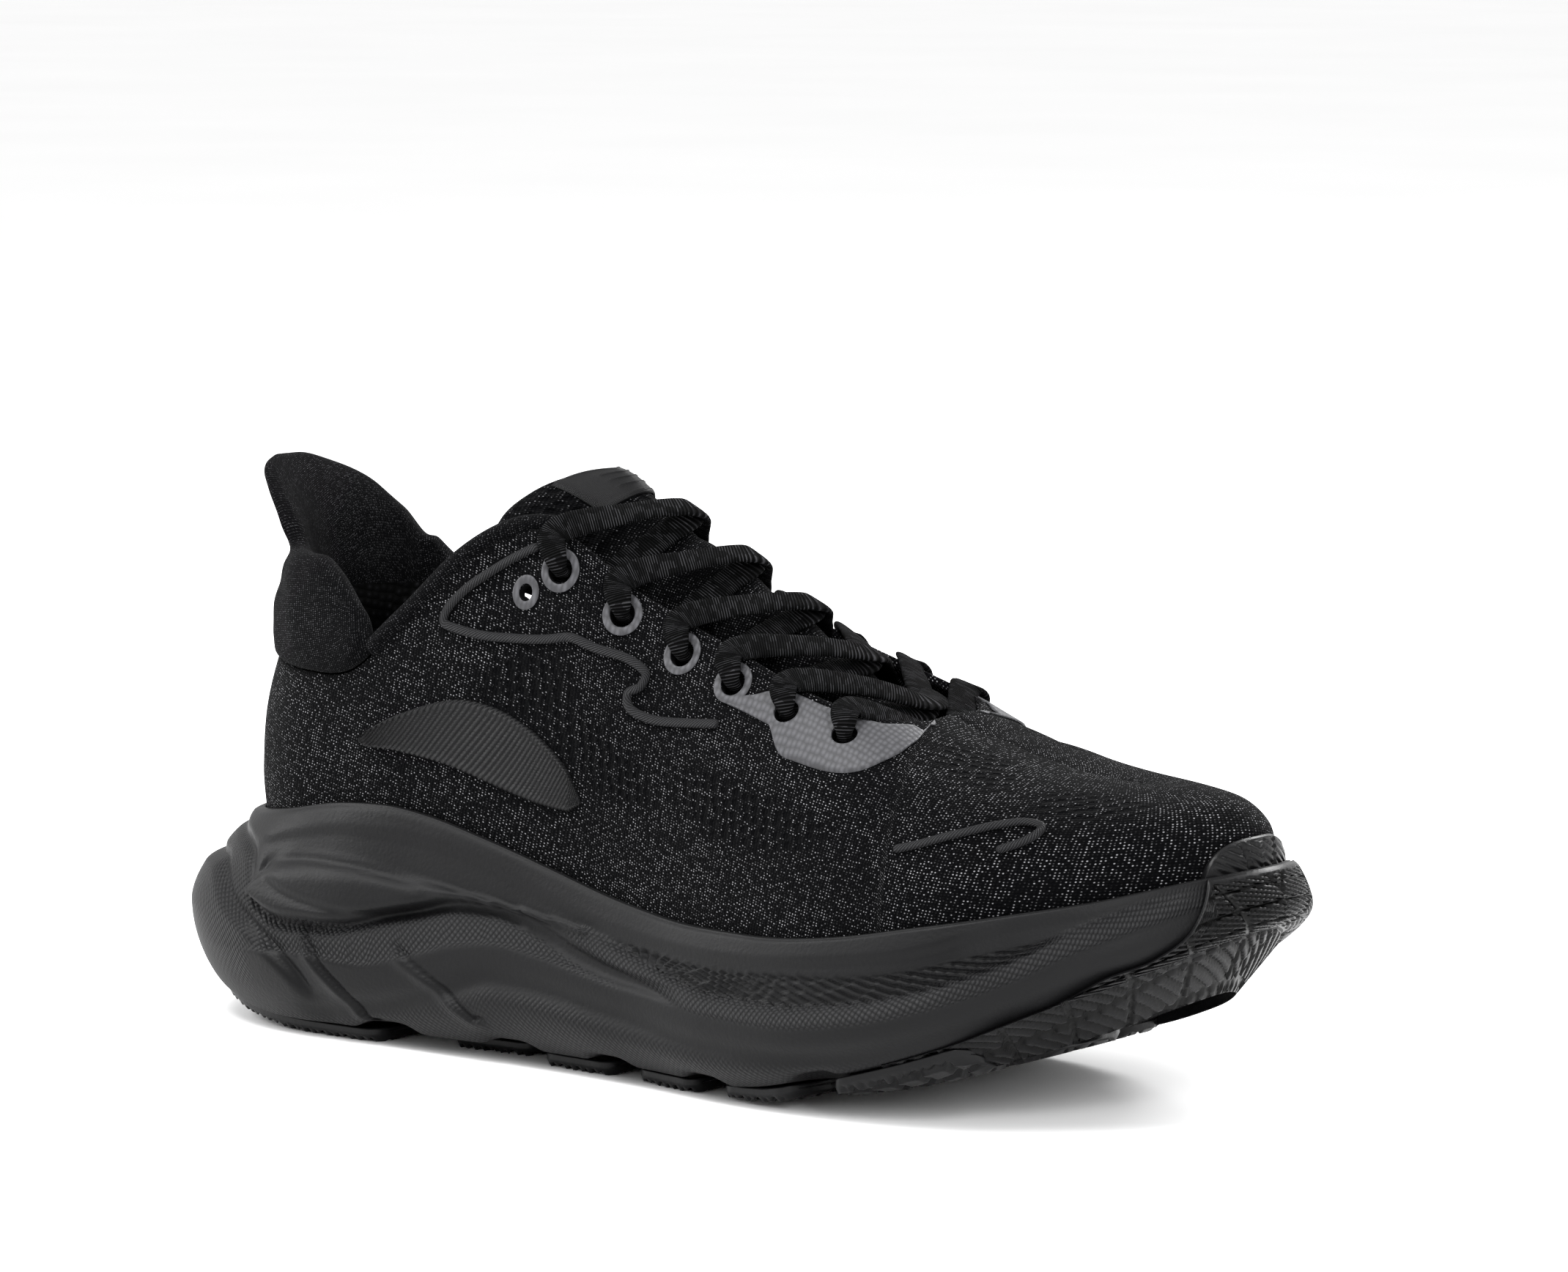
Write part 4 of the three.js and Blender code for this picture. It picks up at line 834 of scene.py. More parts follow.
def toePlace(u, v):
    # u crosses the toe from the lateral side to the medial, v goes up the outer face and back
    side = np.where(u < 0.5, -1.0, 1.0)
    s = mix(toeRubber["start"], 1.0, 1 - np.abs(2 * u - 1))
    a = s * sideLength[0]
    top = curveAt(toeRubber["border"], a)
    x, _ = outline(side, s, footInsetKnots, 0)
    foot, rim = curveAt(footKnots, x), curveAt(rimKnots, x)
    high = 0.02 + 0.97 * np.clip((top - foot) / (rim - foot), 0, 1)
    level = np.interp(v, [0, 0.14, 0.3, 0.72, 0.75, 0.95, 1.0], [-1.15, -0.7, 0, 1, 1, 0, -1.15])
    w = np.where(level > 0, level * high, np.maximum(level, -1.0))
    outer = v < 0.735
    out = np.interp(v, [0, 0.02, 0.7, 0.735, 0.76, 1.0], [-1.2, 0.05, 0.05, -0.35, -1.75, -1.2])
    point = wallPoint(side, s, w, np.where(w < 0, out * 0.4, out))
    rise = np.where(w > 0, w * 36, w * last["bottomInset"])
    cut = sipes(a, rise, side) * outer * smooth(0.03, 0.06, v) * (1 - smooth(0.685, 0.7, v))
    cut = cut * smooth(0.0, 0.03, np.minimum(u, 1 - u))
    x0, y0 = outline(side, s, footInsetKnots, 0)
    x1, y1 = outline(side, s, footInsetKnots, 1)
    inward = vectors(x1 - x0, y1 - y0, 0 * x0)
    turn = smooth(-0.6, 0.3, w)[:, None]
    point += (inward * turn + np.array([0, 0, 1]) * (1 - turn)) * (1.3 * cut)[:, None]
    below = np.where(w < 0, mix(0.5, last["rubber"] - 0.6, np.clip(-w, 0, 1)), 0.4)
    point[:, 2] -= below * outer * smooth(0, 0.03, v)
    point[:, 2] -= 0.2 * (w < 0) * ~outer
    # the depth of cut also goes to the rubber's colour, which darkens the cuts as painted shade
    return point, {"cut": cut}


def lobePlace(u, v):  # rounded lobe over the foot of the upper at the toe's tip
    side = np.where(u < 0.5, -1.0, 1.0)
    half = np.abs(2 * u - 1)
    reach = 0.058
    s = 1.0 - reach * half
    height = 0.235 * (1 - half**3.2) ** 0.6
    t = np.interp(v, [0, 0.6, 0.68, 0.95, 1], [0, 1, 1, 0, 0])
    out = np.interp(v, [0, 0.04, 0.54, 0.6, 0.68, 1], [1.0, 2.0, 1.9, 1.1, 0.2, 0.2])
    level = -0.02 + t * (height + 0.02)
    point = onUpper(side, s, level, 0.0)
    normal = normalOf(upperPoint, side, s, np.maximum(level, 0.01))
    a = s * sideLength[0]
    cut = sipes(a, 38 + level * 45, side) * (v < 0.6) * smooth(0.02, 0.06, v)
    cut = cut * (1 - smooth(0.5, 0.56, v)) * (1 - smooth(0.8, 0.9, half))
    return point + normal * (out - 0.75 * cut)[:, None]


def makeRubber():
    rubber = rubberMaterial()
    for name, (x0, x1, low, high, lug) in treads.items():
        inset = 7 if name.endswith("_1") else 0.6
        columns = int((x1 - x0) / 0.7)
        gridPiece(
            name.replace("outsole", "tread"), columns, 90, padPlace(x0, x1, low, high, lug, inset),
            rubber, replaces=[name])
    gridPiece("toe_rubber", 420, 130, toePlace, rubber, replaces=["outsole_toe"])
    gridPiece("toe_rubber_lobe", 90, 60, lobePlace, rubber, replaces=["toe_lobe"])


makeSole()
makeRubber()
print("sole is made")

# Knitted upper. Lace holes from the toe to the ankle, as (share, level).
holes = [[0.676, 0.865], [0.634, 0.87], [0.588, 0.87], [0.543, 0.87], [0.493, 0.87], [0.446, 0.86]]
spareHole = [0.412, 0.8]
holeRadius = {"laced": 3.0, "spare": 1.9}
knit = {
    "columns": 560, "rows": 104, "stitch": (0.85, 0.66), "depth": 0.35, "openness": 0.9,
    "tones": [(0.0, "#020203"), (0.3, "#070708"), (0.5, "#262627"), (1.0, "#98989b")],
}
openZones = [  # where the knit opens in eyes: centre (share, level) and reach
    (0.6, 0.46, 0.075, 0.1), (0.41, 0.53, 0.04, 0.1), (0.47, 0.4, 0.05, 0.09),
    (0.76, 0.74, 0.035, 0.12), (0.86, 0.6, 0.05, 0.12),
]


def crownNormal(s):
    step = 0.004
    run = curveAt(ribKnots[:, :2], s + step) - curveAt(ribKnots[:, :2], s - step)
    rise = curveAt(ribKnots[:, [0, 2]], s + step) - curveAt(ribKnots[:, [0, 2]], s - step)
    return unit(vectors(-rise, 0 * run, run))


def knitPlace(u, v):
    side, s = sidesOf(u)
    level = np.interp(v, [0, 0.07, 0.7, 0.73, 0.94, 1], [-0.6, -0.12, 1, 1, 0, -0.6])
    depth = np.interp(
        v, [0, 0.02, 0.695, 0.715, 0.735, 0.98, 1], [-1.1, 0, -0.1, -1.1, -2.1, -2.2, -1.1])
    point = upperPoint(side, s, level)
    held = np.where(s > last["vampStart"], np.minimum(level, 0.97), level)
    normal = normalOf(upperPoint, side, s, held)
    ridge = (smooth(0.8, 1.0, level) * (s > last["vampStart"]))[:, None]
    normal = unit(normal + (crownNormal(np.maximum(s, 0.72)) - normal) * ridge)
    # rolled edge of the throat, soft flex folds over the vamp, the toe box held full by its puff
    edge = smooth(0.955, 0.985, level) * (s < 0.7) * (s > 0.29)
    folds = np.sin((s - 0.69) * 150 + 3 * level) * np.exp(-((s - 0.735) / 0.03) ** 2)
    folds = folds * smooth(0.3, 0.6, level)
    puff = 0.6 * smooth(0.84, 0.95, s) * smooth(0.1, 0.3, level) * (1 - smooth(0.5, 0.75, level))
    push = depth + (0.35 * edge + 0.3 * folds + puff) * (v < 0.72)
    zone = sum(
        smooth(1.25, 0.6, np.hypot((s - at) / wide, (level - high) / tall))
        for at, high, wide, tall in openZones)
    placed = point + normal * push[:, None]
    joined = (s > last["vampStart"]) & (level > 0.9999)
    for k in range(3):
        placed[:, k] = np.where(joined, pairMean(u, v, placed[:, k]), placed[:, k])
    return placed, {"mesh": np.clip(zone, 0, 1) * (v < 0.72)}


def cutHoles(piece, places, radius):  # punches lace holes through a piece
    form = bmesh.new()
    for side in (lateral, medial):
        for s, v in places:
            at = onUpper(side, s, v)
            normal = Vector(normalOf(upperPoint, side, s, v))
            turn = Vector((0, 0, 1)).rotation_difference(normal).to_matrix().to_4x4()
            made = bmesh.ops.create_cone(
                form, cap_ends=True, segments=24, radius1=radius * mm, radius2=radius * mm,
                depth=12 * mm, matrix=turn)
            bmesh.ops.translate(form, verts=made["verts"], vec=Vector(at * mm))
    cutterMesh = bpy.data.meshes.new("punch")
    form.to_mesh(cutterMesh)
    form.free()
    punch = bpy.data.objects.new("punch", cutterMesh)
    bpy.context.scene.collection.objects.link(punch)
    cut = piece.modifiers.new("holes", "BOOLEAN")
    cut.operation = "DIFFERENCE"
    cut.solver = "MANIFOLD"
    cut.object = punch
    applyModifiers(piece)
    bpy.data.objects.remove(punch)


def applyModifiers(piece):
    graph = bpy.context.evaluated_depsgraph_get()
    made = bpy.data.meshes.new_from_object(piece.evaluated_get(graph))
    old = piece.data
    piece.modifiers.clear()
    made.name = piece.name
    piece.data = made
    bpy.data.meshes.remove(old)
    print(f"  {piece.name}: {len(made.polygons)} faces")


def makeKnit():
    piece = gridPiece(
        "knit_upper", knit["columns"], knit["rows"], knitPlace,
        knitMaterial("engineered jersey knit", knit), replaces=["upper_knit"])
    cutHoles(piece, holes, holeRadius["laced"])
    cutHoles(piece, [spareHole], holeRadius["spare"])


# Collar, pull tab and lining. The pad folds over at a height, above which only the tab goes on.
collar = {
    "end": 0.276, "fold": 112, "gap": 0.35, "stitch": (0.7, 0.5), "depth": 0.25,
    "tones": [(0.0, "#020203"), (0.3, "#0b0b0c"), (0.6, "#242425"), (1.0, "#5c5c5f")],
    "fill": 0.75, "swell": 1.6, "pressure": 3.0, "frames": 14,
}
lining = {
    "end": 0.285, "foot": 62, "below": 7.0, "stitch": (2.0, 2.2), "depth": 0.9, "fill": 0.5,
    "tones": [(0.0, "#010101"), (0.5, "#060607"), (1.0, "#161617")],
}
collarTops = {
    -1: [
        [0, 133.5], [0.03, 131.5], [0.07, 125.5], [0.11, 118], [0.15, 114], [0.18, 113], [0.21, 111.5],
        [0.235, 107.5], [0.255, 102], [0.276, 97]],
    1: [
        [0, 133.5], [0.03, 133.5], [0.07, 131], [0.1, 127.5], [0.13, 122.5], [0.16, 116.5],
        [0.19, 109], [0.22, 102.5], [0.25, 99], [0.276, 97]],
}


def collarTop(side, s):
    return np.where(side < 0, curveAt(collarTops[-1], s), curveAt(collarTops[1], s))


def collarPoint(side, s, z, out):
    rib = ribOf(side, s)
    at = ribPoint(rib, s, angleAt(rib, z))
    away = unit((rib[0] - rib[1]) * [1, 1, 0])
    return at + away * out[:, None]


def collarPlace(u, v):
    # u runs from the lateral tip round the heel to the medial one, v round the pad's section
    side = np.where(u < 0.5, -1.0, 1.0)
    s = np.abs(2 * u - 1) * collar["end"]
    low = curveAt(ribKnots[:, [0, 3]], s) + collar["gap"]
    top = collarTop(side, s)
    fold = np.minimum(top, collar["fold"])
    tab = smooth(0.5, 8, top - collar["fold"])
    # section as (share of the pad's height or of the tab's, distance out), round from the lower edge
    padPart = [(0.0, 0.3), (0.06, 2.0), (0.25, 3.6), (0.5, 4.1), (0.72, 3.6), (0.9, 2.3), (1.0, 0.9)]
    full = mix(0.42, 1.0, smooth(0.0, 0.12, s))
    # (share, distance out) and the rounded lip that it is where there is no tab, (out, rise)
    tabPart = [
        (0.2, 0.8, 0.2, 0.6), (0.5, 1.4, -0.4, 1.0), (0.8, 2.3, -1.1, 1.3), (0.94, 2.4, -1.8, 1.4),
        (1.0, 0.7, -2.5, 1.4), (0.97, -1.6, -3.2, 1.2), (0.8, -3.0, -3.9, 0.9), (0.4, -4.0, -4.5, 0.5)]
    backPart = [
        (1.0, -4.8), (0.75, -6.3), (0.45, -6.6), (0.15, -6.4), (0.02, -5.6), (0.0, -3.0), (0.0, 0.3)]
    heights, outs = [], []
    for share, out in padPart:
        heights.append(mix(low, fold, share))
        outs.append(out * (full if out > 0.95 else 1.0))
    for share, out, lipOut, lipRise in tabPart:
        heights.append(mix(fold + lipRise, mix(fold, top, share), tab))
        outs.append(mix(lipOut, out, tab))
    for share, out in backPart:
        heights.append(mix(low, fold, share))
        outs.append(out)
    count = len(heights) - 1
    k = np.clip((v * count).astype(int), 0, count - 1)
    t = v * count - k
    rows = np.arange(len(v))
    high, out = np.array(heights), np.array([np.broadcast_to(o, v.shape) for o in outs])
    z = mix(high[k, rows], high[k + 1, rows], t)
    o = mix(out[k, rows], out[k + 1, rows], t)
    taper = smooth(0.0, 0.05, np.minimum(u, 1 - u))
    o = mix(-1.4, o, taper**0.5)
    z = mix(mix(low, top, 0.35), z, smooth(0, 0.016, np.minimum(u, 1 - u)))
    # creases where the tab folds back and where the pad turns the ankle
    crease = np.exp(-((z - 106 + 40 * np.abs(s - 0.1)) / 2.2) ** 2) * smooth(0.03, 0.1, s) * (o > 0)
    wrinkle = np.sin(s * 110 + z * 0.25) * np.exp(-((s - 0.16) / 0.05) ** 2) * (o > 0)
    return collarPoint(side, s, z, o - 0.8 * crease + 0.22 * wrinkle)


def swell(piece):  # lets the collar's padding fill out as cloth under pressure
    before = np.array([v.co for v in piece.data.vertices])
    cloth = piece.modifiers.new("padding", "CLOTH")
    cloth.settings.use_pressure = True
    cloth.settings.uniform_pressure_force = collar["pressure"]
    cloth.settings.effector_weights.gravity = 0
    cloth.settings.quality = 4
    cloth.settings.tension_stiffness = 25
    cloth.settings.compression_stiffness = 25
    cloth.settings.bending_stiffness = 3
    for number in range(1, collar["frames"] + 1):
        bpy.context.scene.frame_set(number)
    graph = bpy.context.evaluated_depsgraph_get()
    made = piece.evaluated_get(graph).data
    after = np.array([v.co for v in made.vertices])
    move = after - before
    length = np.maximum(np.linalg.norm(move, axis=1, keepdims=True), 1e-9)
    move *= np.minimum(1, collar["swell"] * mm / length)
    piece.modifiers.remove(cloth)
    bpy.context.scene.frame_set(1)
    piece.data.vertices.foreach_set("co", (before + move).astype(np.float32).ravel())
    piece.data.update()


def liningPlace(u, v):
    side = np.where(u < 0.5, -1.0, 1.0)
    s = np.abs(2 * u - 1) * lining["end"]
    high = np.minimum(collarTop(side, s), collar["fold"]) - lining["below"]
    level = np.interp(v, [0, 0.03, 0.5, 0.53, 1], [0, 0, 1, 1, 0])
    z = mix(lining["foot"], high, level)
    o = np.interp(
        v, [0, 0.03, 0.46, 0.5, 0.53, 0.6, 0.95, 1], [-7.6, -8.4, -8.4, -7.9, -7.2, -6.9, -6.9, -7.6])
    pad = np.sin(np.pi * np.clip(level, 0, 1)) ** 0.7 * (v < 0.5)
    close = smooth(0, 0.02, np.minimum(u, 1 - u))
    tucked = mix(o - 0.9 * pad, -5.4 - 0.4 * (v < 0.5), smooth(0.8, 1.0, level))
    return collarPoint(side, s, z, mix(-7.4, tucked, close))


def bindingPlace(side):
    s = np.linspace(0.268, 0.452, 60)
    at = onUpper(side, s, 1.0, -last["knit"] / 2)
    below = onUpper(side, s, 0.93, -last["knit"] / 2)
    up = unit(at - below)
    line = at + up * 1.9
    thick = 5.2 - 1.6 * smooth(0.4, 0.452, s)
    return ribbonPlace(line, up, thick, thick * 0.95, 1.0)


def makeCollar():
    soft = knitMaterial("brushed heather jersey", collar)
    pad = gridPiece(
        "collar_pad", 240, 110, collarPlace, soft, body=None, replaces=["heel_collar", "heel_tab"],
        smoothing=3)
    swell(pad)
    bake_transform(pad)
    inner = gridPiece(
        "collar_lining_mesh", 200, 70, liningPlace, knitMaterial("spacer mesh lining", lining),
        replaces=["collar_lining"])
    for side, word in ((lateral, "lateral"), (medial, "medial")):
        gridPiece(
            f"topline_binding_{word}", 110, 20, bindingPlace(side), soft,
            replaces=[f"collar_binding_{word}"])


tongue = {
    "shift": -1.5,  # the throat's middle lies a little to the lateral side
    "stitch": (0.8, 0.6), "depth": 0.35, "openness": 0.9, "fill": 0.6,
    "tones": [(0.0, "#020203"), (0.3, "#0a0a0b"), (0.6, "#262627"), (1.0, "#88888b")],
}
label = {"low": 4.87, "high": 5.68, "half": 0.46, "colour": "#0b0b0c", "bright": "#161617"}
tongueArcs = np.array([
    # station, middle (x, z), side (x, y, z), from the toe to the ankle
    [0, 70, 76.5, 73, 16, 68], [1, 51, 87.2, 49, 18, 72], [2, 26, 103.5, 19, 19, 82],
    [3, 5, 115.5, -10, 17.5, 93], [4, -10, 123.5, -28, 16.5, 102], [5, -23, 131.3, -46, 19.5, 108],
    [6, -35, 133.5, -64, 20.5, 112],
])


def tongueMiddle(b, a):  # b runs from the toe end (0) to the top (6), a across from -1 to 1
    mx, mz, sx, sy, sz = [curveAt(tongueArcs[:, [0, k]], b) for k in range(1, 6)]
    crown = smooth(4.4, 6, b)
    back, drop = np.abs(a) ** (1.9 - 0.7 * crown), np.abs(a) ** (1.9 + 1.0 * crown)
    return vectors(mix(mx, sx, back), tongue["shift"] + sy * a, mix(mz, sz, drop))


def tonguePoint(b, a, out):
    along = tongueMiddle(b + 0.05, a) - tongueMiddle(b - 0.05, a)
    across = tongueMiddle(b, a + 0.02) - tongueMiddle(b, a - 0.02)
    normal = unit(np.cross(across, along))
    return tongueMiddle(b, a) + normal * np.asarray(out)[..., None]


def topLift(b):  # how far the padded face of the tongue stands up towards the ankle
    return 0.15 + 1.8 * smooth(4.9, 5.8, b) + 0.9 * np.sin(np.pi * np.clip((b - 4.8) / 1.25, 0, 1))


def tonguePlace(u, v):
    a = np.interp(v, [0, 0.5, 1], [-1, 1, -1])
    b = u * (6 - 0.6 * np.abs(a) ** 5)
    upper = v < 0.5
    face = topLift(b) + 1.6 * smooth(0.55, 0.8, np.abs(a)) * smooth(4.3, 5.2, b)
    back = -3.2 - 2.4 * smooth(4.6, 5.6, b)
    middle = (face + back) / 2
    roundness = (1 - np.abs(a) ** 6) ** 0.5
    end = np.minimum(1, np.minimum(u, 1 - u) * 6 / 0.3)
    cap = (1 - (1 - end) ** 2) ** 0.5
    out = np.where(upper, face, back)
    out = middle + (out - middle) * roundness * cap
    quilt = 0.35 * np.sin(b * 9.5) * upper * (b < 4.6) * roundness
    eyes = smooth(4.3, 4.9, b) * (1 - smooth(5.7, 5.85, b)) * upper * smooth(0.9, 0.7, np.abs(a))
    return tonguePoint(b, a * 0.99, out + quilt), {"mesh": eyes}


# Woven label on the tongue: a plain frame with three short bars.
def labelPlace(u, v):
    b = mix(label["low"], label["high"], u)
    a = label["half"] * np.interp(v, [0, 0.02, 0.5, 0.52, 1], [-1, -1, 1, 1, -1])
    upper = v < 0.51
    lift = topLift(b)
    p, q = np.abs(2 * u - 1), np.abs(a) / label["half"]
    frameLine = np.exp(-((np.maximum(p, q) - 0.86) / 0.05) ** 2)
    bars = smooth(0.12, 0.07, np.abs(np.mod(u * 5, 1) - 0.5)) * (q < 0.45) * (p < 0.58)
    close = smooth(1.0, 0.97, np.maximum(p, q))
    top = 0.3 + 0.6 * close + 0.18 * frameLine + 0.22 * bars
    return tonguePoint(b, a, lift + np.where(upper, top, 0.25))


def makeTongue():
    pad = gridPiece(
        "tongue_pad", 300, 90, tonguePlace, knitMaterial("padded tongue mesh", tongue), body=None,
        replaces=["tongue", "tongue_top"])
    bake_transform(pad)
    satin = ribbedMaterial(
        "damask woven label", label["colour"], label["bright"], 0.5, 0, roughness=0.5, depth=0.08)
    gridPiece(
        "woven_label", 90, 90, labelPlace, satin, body="tongue_flap", replaces=["tongue_label"])


# Flat knitted lace: cross ribs a little under a millimetre apart, with a soft nap; the rib crests are
# painted lighter, a painted highlight.
lace = {
    "wide": 7.6, "thick": 1.9, "ribs": 0.95, "lateralLift": 2.4, "medialLift": 5.2,
    "tones": [(0.2, "#030303"), (0.7, "#151516"), (1.0, "#343436")],
}


def laceMaterial():
    material, tree, shader = newMaterial(
        "flat knitted polyester", "#0b0b0c", 0.9, Specular_IOR_Level=0.03)
    coords = surfaceCoords(tree, lace["ribs"], 2.4)
    ribs = node(
        tree, "ShaderNodeTexWave", {"wave_type": "BANDS", "bands_direction": "X"},
        Vector=coords, Scale=0.5, Distortion=0.6, Detail=1.0, Detail_Scale=0.8)
    spots = node(
        tree, "ShaderNodeTexVoronoi", {"voronoi_dimensions": "2D"}, Vector=coords, Scale=1.0,
        Randomness=0.6)
    light = node(tree, "ShaderNodeSeparateColor", Color=spots.outputs["Color"]).outputs[0]
    share = maths(tree, "ADD", 0.55, maths(tree, "MULTIPLY", light, 0.6))
    # painted highlight on the rib crests, varied at random from spot to spot
    tone = maths(tree, "MULTIPLY", ribs.outputs["Fac"], share)
    tree.links.new(ramp(tree, tone, lace["tones"]), shader.inputs["Base Color"])
    bump(tree, shader, ribs.outputs["Fac"], 1.0, 0.5)
    return material


def overTongue(s, lift):  # the point over the tongue's middle between a pair of holes
    hole = onUpper(lateral, s, 0.87)
    b = 0.0
    while b < 5.9 and tongueMiddle(b, 0.0)[0] > hole[0] + 8:
        b += 0.02
    return tonguePoint(b, 0.0, lift)


def laceHalf(first):  # stations from the bar up to an end: place, up, width, thickness
    stations = []
    turn = 1.0

    def put(at, up, wide=lace["wide"], thick=lace["thick"]):
        stations.append((np.array(at), unit(np.array(up, float)) * turn, wide, thick))

    side = first
    inside = -last["knit"]
    for k, (s, v) in enumerate(holes):

        def spot(ds, level, out):
            return onUpper(side, s + ds, level, out)

        normal = normalOf(upperPoint, side, s, v)
        away = unit(spot(0, v - 0.12, 0) - spot(0, v + 0.05, 0))
        put(spot(0, 0.965, 2.4 if side == lateral else 1.5), normalOf(upperPoint, side, s, 0.95))
        put(spot(0, v + 0.02, 2.1), unit(normal + away * 0.6), 5.2, 1.9)
        put(spot(0, v, 0.8), away, 3.6, 2.2)
        put(spot(0, v, inside - 0.6), away, 3.2, 1.8)
        put(spot(-0.002, v + 0.025, inside - 1.9), away - normal, 4, 1.5)
        turn = -turn
        if k + 1 == len(holes):
            put(spot(-0.014, v - 0.04, inside - 1.3), normal, 5, 1.3)
            break
        after = holes[k + 1][0]
        put(onUpper(side, mix(s, after, 0.2), 0.97, inside - 1.8), normalOf(upperPoint, side, s, 0.97))
        way = 1 if side == lateral else -1
        lift = lace["lateralLift"] if side == lateral else lace["medialLift"]
        leave = onUpper(side, mix(s, after, 0.2), 0.97, inside - 1.8)
        reach = onUpper(-side, after, 0.98, 2.8 if side == medial else 1.6)
        middle = overTongue(mix(s, after, 0.5), lift)
        rise = np.array([0.5, 0, 1.0])
        put(mix(leave, middle, 0.55) + rise * 0.9, [0.4, -0.4 * way, 1])
        put(middle, [0.45, 0, 1])
        put(mix(middle, reach, 0.5) + rise * 1.1, [0.4, 0.35 * way, 1])
        side = -side
    return stations


def makeLace():
    bar = (overTongue(holes[0][0], 2.3), unit(np.array([0.45, 0, 1.0])), lace["wide"], lace["thick"])
    path = [*laceHalf(lateral)[::-1], bar, *laceHalf(medial)]
    each = 14
    line = spline([p[0] for p in path], each)
    knots = np.arange(len(path))
    fine = np.linspace(0, len(path) - 1, len(line))
    up = np.stack([np.interp(fine, knots, [p[1][k] for p in path]) for k in range(3)], -1)
    wide = np.interp(fine, knots, [p[2] for p in path])
    thick = np.interp(fine, knots, [p[3] for p in path])
    total = lengths(line)
    print(f"  lace: {total[-1]:.0f} mm through the holes")
    gridPiece(
        "flat_lace", 1500, 20, ribbonPlace(line, unit(up), wide, thick, 0.8), laceMaterial(),
        replaces=["lace"])


# Heat-pressed TPU film in reflective grey, embossed with the knit beneath it; the tops of the emboss are
# painted lighter, a painted highlight.
film = {"dark": "#38383a", "bright": "#4c4c4f", "grain": 1.3}


def filmMaterial():
    material, tree, shader = newMaterial(
        "grey pressed film", film["dark"], 0.45, Specular_IOR_Level=0.12)
    weave = node(
        tree, "ShaderNodeTexVoronoi", {"voronoi_dimensions": "2D"},
        Vector=objectCoords(tree, film["grain"]), Scale=1.0, Randomness=0.3)
    # painted highlight: the raised middle of each cell is painted bright
    stops = [(0.1, film["bright"]), (0.55, film["dark"])]
    tree.links.new(ramp(tree, weave.outputs["Distance"], stops), shader.inputs["Base Color"])
    bump(tree, shader, maths(tree, "SUBTRACT", 1.0, weave.outputs["Distance"]), 0.6, 0.25)
    return material


# Piping round the eyestay and the hook on the forefoot, as (share, level) points.
piping = {"lift": 0.6, "wide": 2.2, "thick": 1.4, "colour": "#0e0e0f", "bright": "#2a2a2c"}
hook = {"lift": 0.55, "wide": 2.0, "thick": 1.3}
mark = {"colour": "#0a0a0b", "bright": "#161617", "start": 0.259, "end": 0.451, "pitch": 2.6}
pipingPath = [
    [0.43, 0.938], [0.406, 0.92], [0.383, 0.905], [0.36, 0.895], [0.343, 0.87],
    [0.339, 0.835], [0.352, 0.765], [0.38, 0.69], [0.424, 0.655], [0.468, 0.69], [0.499, 0.745],
    [0.511, 0.74], [0.507, 0.69], [0.496, 0.64], [0.497, 0.605], [0.512, 0.61], [0.544, 0.655],
    [0.578, 0.71],
]
hookPath = [
    [0.722, 0.3], [0.742, 0.33], [0.766, 0.378], [0.79, 0.43], [0.812, 0.46], [0.823, 0.445],
    [0.822, 0.4], [0.812, 0.352], [0.794, 0.308],
]


def trimPlace(side, path, size):
    flat = spline([[s * 3, v, 0] for s, v in path], 12)
    s, v = flat[:, 0] / 3, flat[:, 1]
    normal = normalOf(upperPoint, side, s, np.minimum(v, 0.97))
    return ribbonPlace(onUpper(side, s, v, size["lift"]), normal, size["wide"], size["thick"], 0.9)


# Lower and upper edge of the film patch, as (share, level).
patchLow = [
    [0.574, 0.784], [0.6, 0.79], [0.619, 0.79], [0.627, 0.72], [0.64, 0.7], [0.7, 0.74],
    [0.714, 0.8], [0.719, 0.85],
]
patchHigh = [
    [0.574, 0.79], [0.606, 0.868], [0.63, 0.95], [0.66, 0.965], [0.693, 0.96], [0.715, 0.905],
    [0.719, 0.86],
]


def patchPlace(side):
    def place(u, v):
        s = mix(0.575, 0.718, u)
        level = np.interp(v, [0, 0.46, 0.5, 0.96, 1], [0, 1, 1, 0, 0])
        low, high = curveAt(patchLow, s), curveAt(patchHigh, s)
        tip = np.clip(np.minimum(u, 1 - u) / 0.06, 0, 1) ** 0.5
        middle = (low + high) / 2
        at = middle + (mix(low, high, level) - middle) * tip
        out = np.interp(v, [0, 0.02, 0.44, 0.47, 0.5, 1], [0.3, 0.62, 0.62, 0.3, 0.05, 0.05])
        return onUpper(side, s, at, mix(0.1, out, tip))
    return place


def ringPlace(side, s, v, inner):
    def place(u, w):
        centre = onUpper(side, s, v)
        normal = normalOf(upperPoint, side, s, v)
        up = unit(onUpper(side, s, v + 0.03) - centre)
        across = unit(np.cross(up, normal))
        turn, section = u * math.tau, w * math.tau
        radius = inner + 0.9 + 0.95 * np.cos(section)
        height = 0.3 + 0.24 * np.sin(section)
        x, y = np.cos(turn) * radius, np.sin(turn) * radius * 1.12
        return centre + across * x[:, None] + up * y[:, None] + normal * height[:, None]
    return place


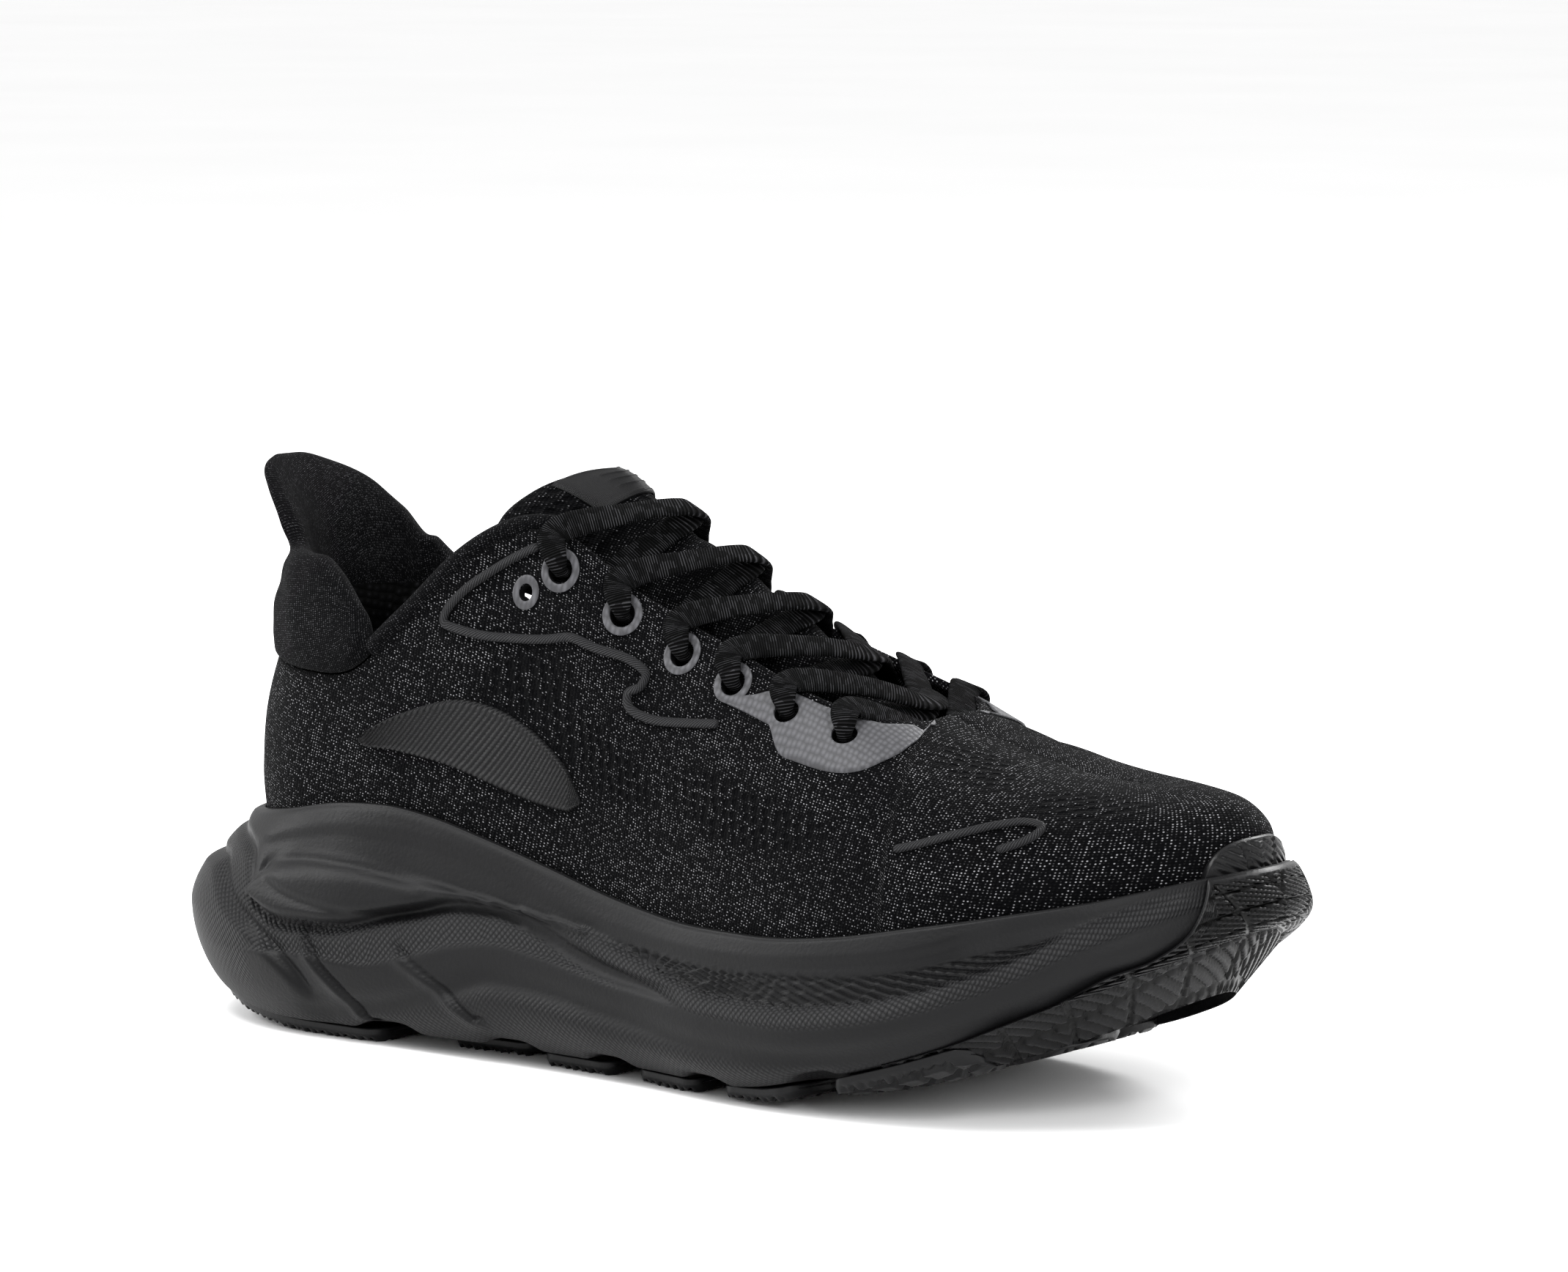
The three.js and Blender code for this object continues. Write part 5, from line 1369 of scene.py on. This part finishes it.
def markPlace(u, v):  # leaf-shaped ribbed mark on the lateral heel quarter
    s = mix(mark["start"], mark["end"], u)
    belly = np.sin(np.pi * np.clip((s - 0.255) / 0.2, 0, 1)) ** 0.6
    tip = np.clip(np.minimum(u, 1 - u) / 0.05, 0, 1) ** 0.5
    across = np.interp(v, [0, 0.5, 0.52, 0.98, 1], [-1, 1, 1, -1, -1])
    level = mix(0.5, 0.24, (s - 0.255) / 0.2) + 0.13 * belly * across * tip
    inner = np.maximum(np.abs(across), 1 - np.minimum(u, 1 - u) / 0.05)
    rim = np.exp(-((inner - 0.86) / 0.07) ** 2)
    wave = (s * sideLength[0] + 22 * across) * math.tau / mark["pitch"]
    ribs = 0.16 * np.sin(wave) * smooth(0.8, 0.7, inner)
    top = 0.75 + 0.35 * rim + ribs
    top = top * smooth(1.0, 0.96, np.abs(across)) + 0.15
    return onUpper(-np.ones_like(u), s, level, np.where(v < 0.51, top, 0.1) * tip + 0.05)


def makeTrim():
    ribbed = ribbedMaterial("ribbed elastic piping", piping["colour"], piping["bright"], 0.9, 50)
    markFilm = ribbedMaterial(
        "raised ribbed film", mark["colour"], mark["bright"], 2.0, 35, roughness=0.42)
    pressed = filmMaterial()
    for side, word in ((lateral, "lateral"), (medial, "medial")):
        gridPiece(
            f"eyestay_piping_{word}", 420, 16, trimPlace(side, pipingPath, piping), ribbed,
            replaces=[f"piping_{word}"])
        patch = gridPiece(
            f"lace_patch_film_{word}", 130, 70, patchPlace(side), pressed,
            replaces=[f"lace_patch_{word}"])
        cutHoles(patch, holes[:2], holeRadius["laced"])
        for i, (s, v) in enumerate(holes[2:]):
            gridPiece(
                f"eyelet_film_{word}_{i + 1}", 48, 12, ringPlace(side, s, v, holeRadius["laced"]), pressed,
                replaces=[f"eyelet_ring_{word}_{i + 1}"])
        gridPiece(
            f"eyelet_film_{word}_spare", 48, 12, ringPlace(side, *spareHole, holeRadius["spare"]), pressed,
            replaces=[f"eyelet_ring_{word}_spare"])
    gridPiece(
        "forefoot_hook_trim", 240, 16, trimPlace(lateral, hookPath, hook), ribbed,
        replaces=["forefoot_hook"])
    gridPiece(
        "heel_quarter_mark", 220, 90, markPlace, markFilm, replaces=["side_mark"])


# The loose sockliner, and the stiffeners and board, which keep their modelled shape.
sockliner = {
    "heel": -125, "toe": 131, "stitch": (1.0, 0.9), "depth": 0.2,
    "tones": [(0.0, "#0e0e0f"), (0.6, "#18181a"), (1.0, "#303032")],
}


# Pressed fibre board of the stiffeners and the strobel board.
def boardMaterial():
    material, tree, shader = newMaterial("pressed fibre board", "#2c2c2d", 0.9)
    fibres = node(tree, "ShaderNodeTexNoise", Vector=objectCoords(tree, 1.4), Scale=1.0, Detail=5.0)
    stops = [(0.35, "#232324"), (0.7, "#3a3a3b")]
    tree.links.new(ramp(tree, fibres.outputs["Fac"], stops), shader.inputs["Base Color"])
    bump(tree, shader, fibres.outputs["Fac"], 0.5, 0.4)
    return material


def sockPlace(u, v):
    x = mix(sockliner["heel"], sockliner["toe"], u)
    inset = last["upperInset"] + last["skirtInset"] + last["knit"] + 1.2
    yl, ym = [edgeAt(side, x, rimInsetKnots, inset, 1) for side in (lateral, medial)]
    across = np.interp(v, [0, 0.5, 0.55, 0.95, 1], [-1, 1, 1, -1, -1])
    end = np.clip(np.minimum(u, 1 - u) / 0.02, 0, 1)
    reach = (1 - (1 - end) ** 2) ** 0.5
    y = (yl + ym) / 2 + across * (ym - yl) / 2 * mix(0.35, 1, reach)
    edge = 7 - np.minimum(np.minimum(y - yl, ym - y), 7)
    lift = 3 * (1 - smooth(-20, 60, x)) * (edge / 7) ** 2
    high = np.interp(v, [0, 0.04, 0.46, 0.5, 0.55, 0.95, 1], [5.4, 6.5, 6.5, 5.4, 2.6, 2.6, 5.4])
    return vectors(x, y, curveAt(bedKnots, x) + lift + mix(4.4, high, np.minimum(end * 2, 1)))


def makeInside():
    gridPiece(
        "sockliner_cloth", 230, 60, sockPlace, knitMaterial("brushed sockliner cloth", sockliner),
        body="insole", replaces=["sockliner"])
    board = boardMaterial()
    for name in ("strobel_board", "heel_counter", "toe_puff"):
        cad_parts[name].material_slots[0].material = board


makeKnit()
makeCollar()
makeTongue()
makeLace()
makeTrim()
makeInside()
print("upper is made")
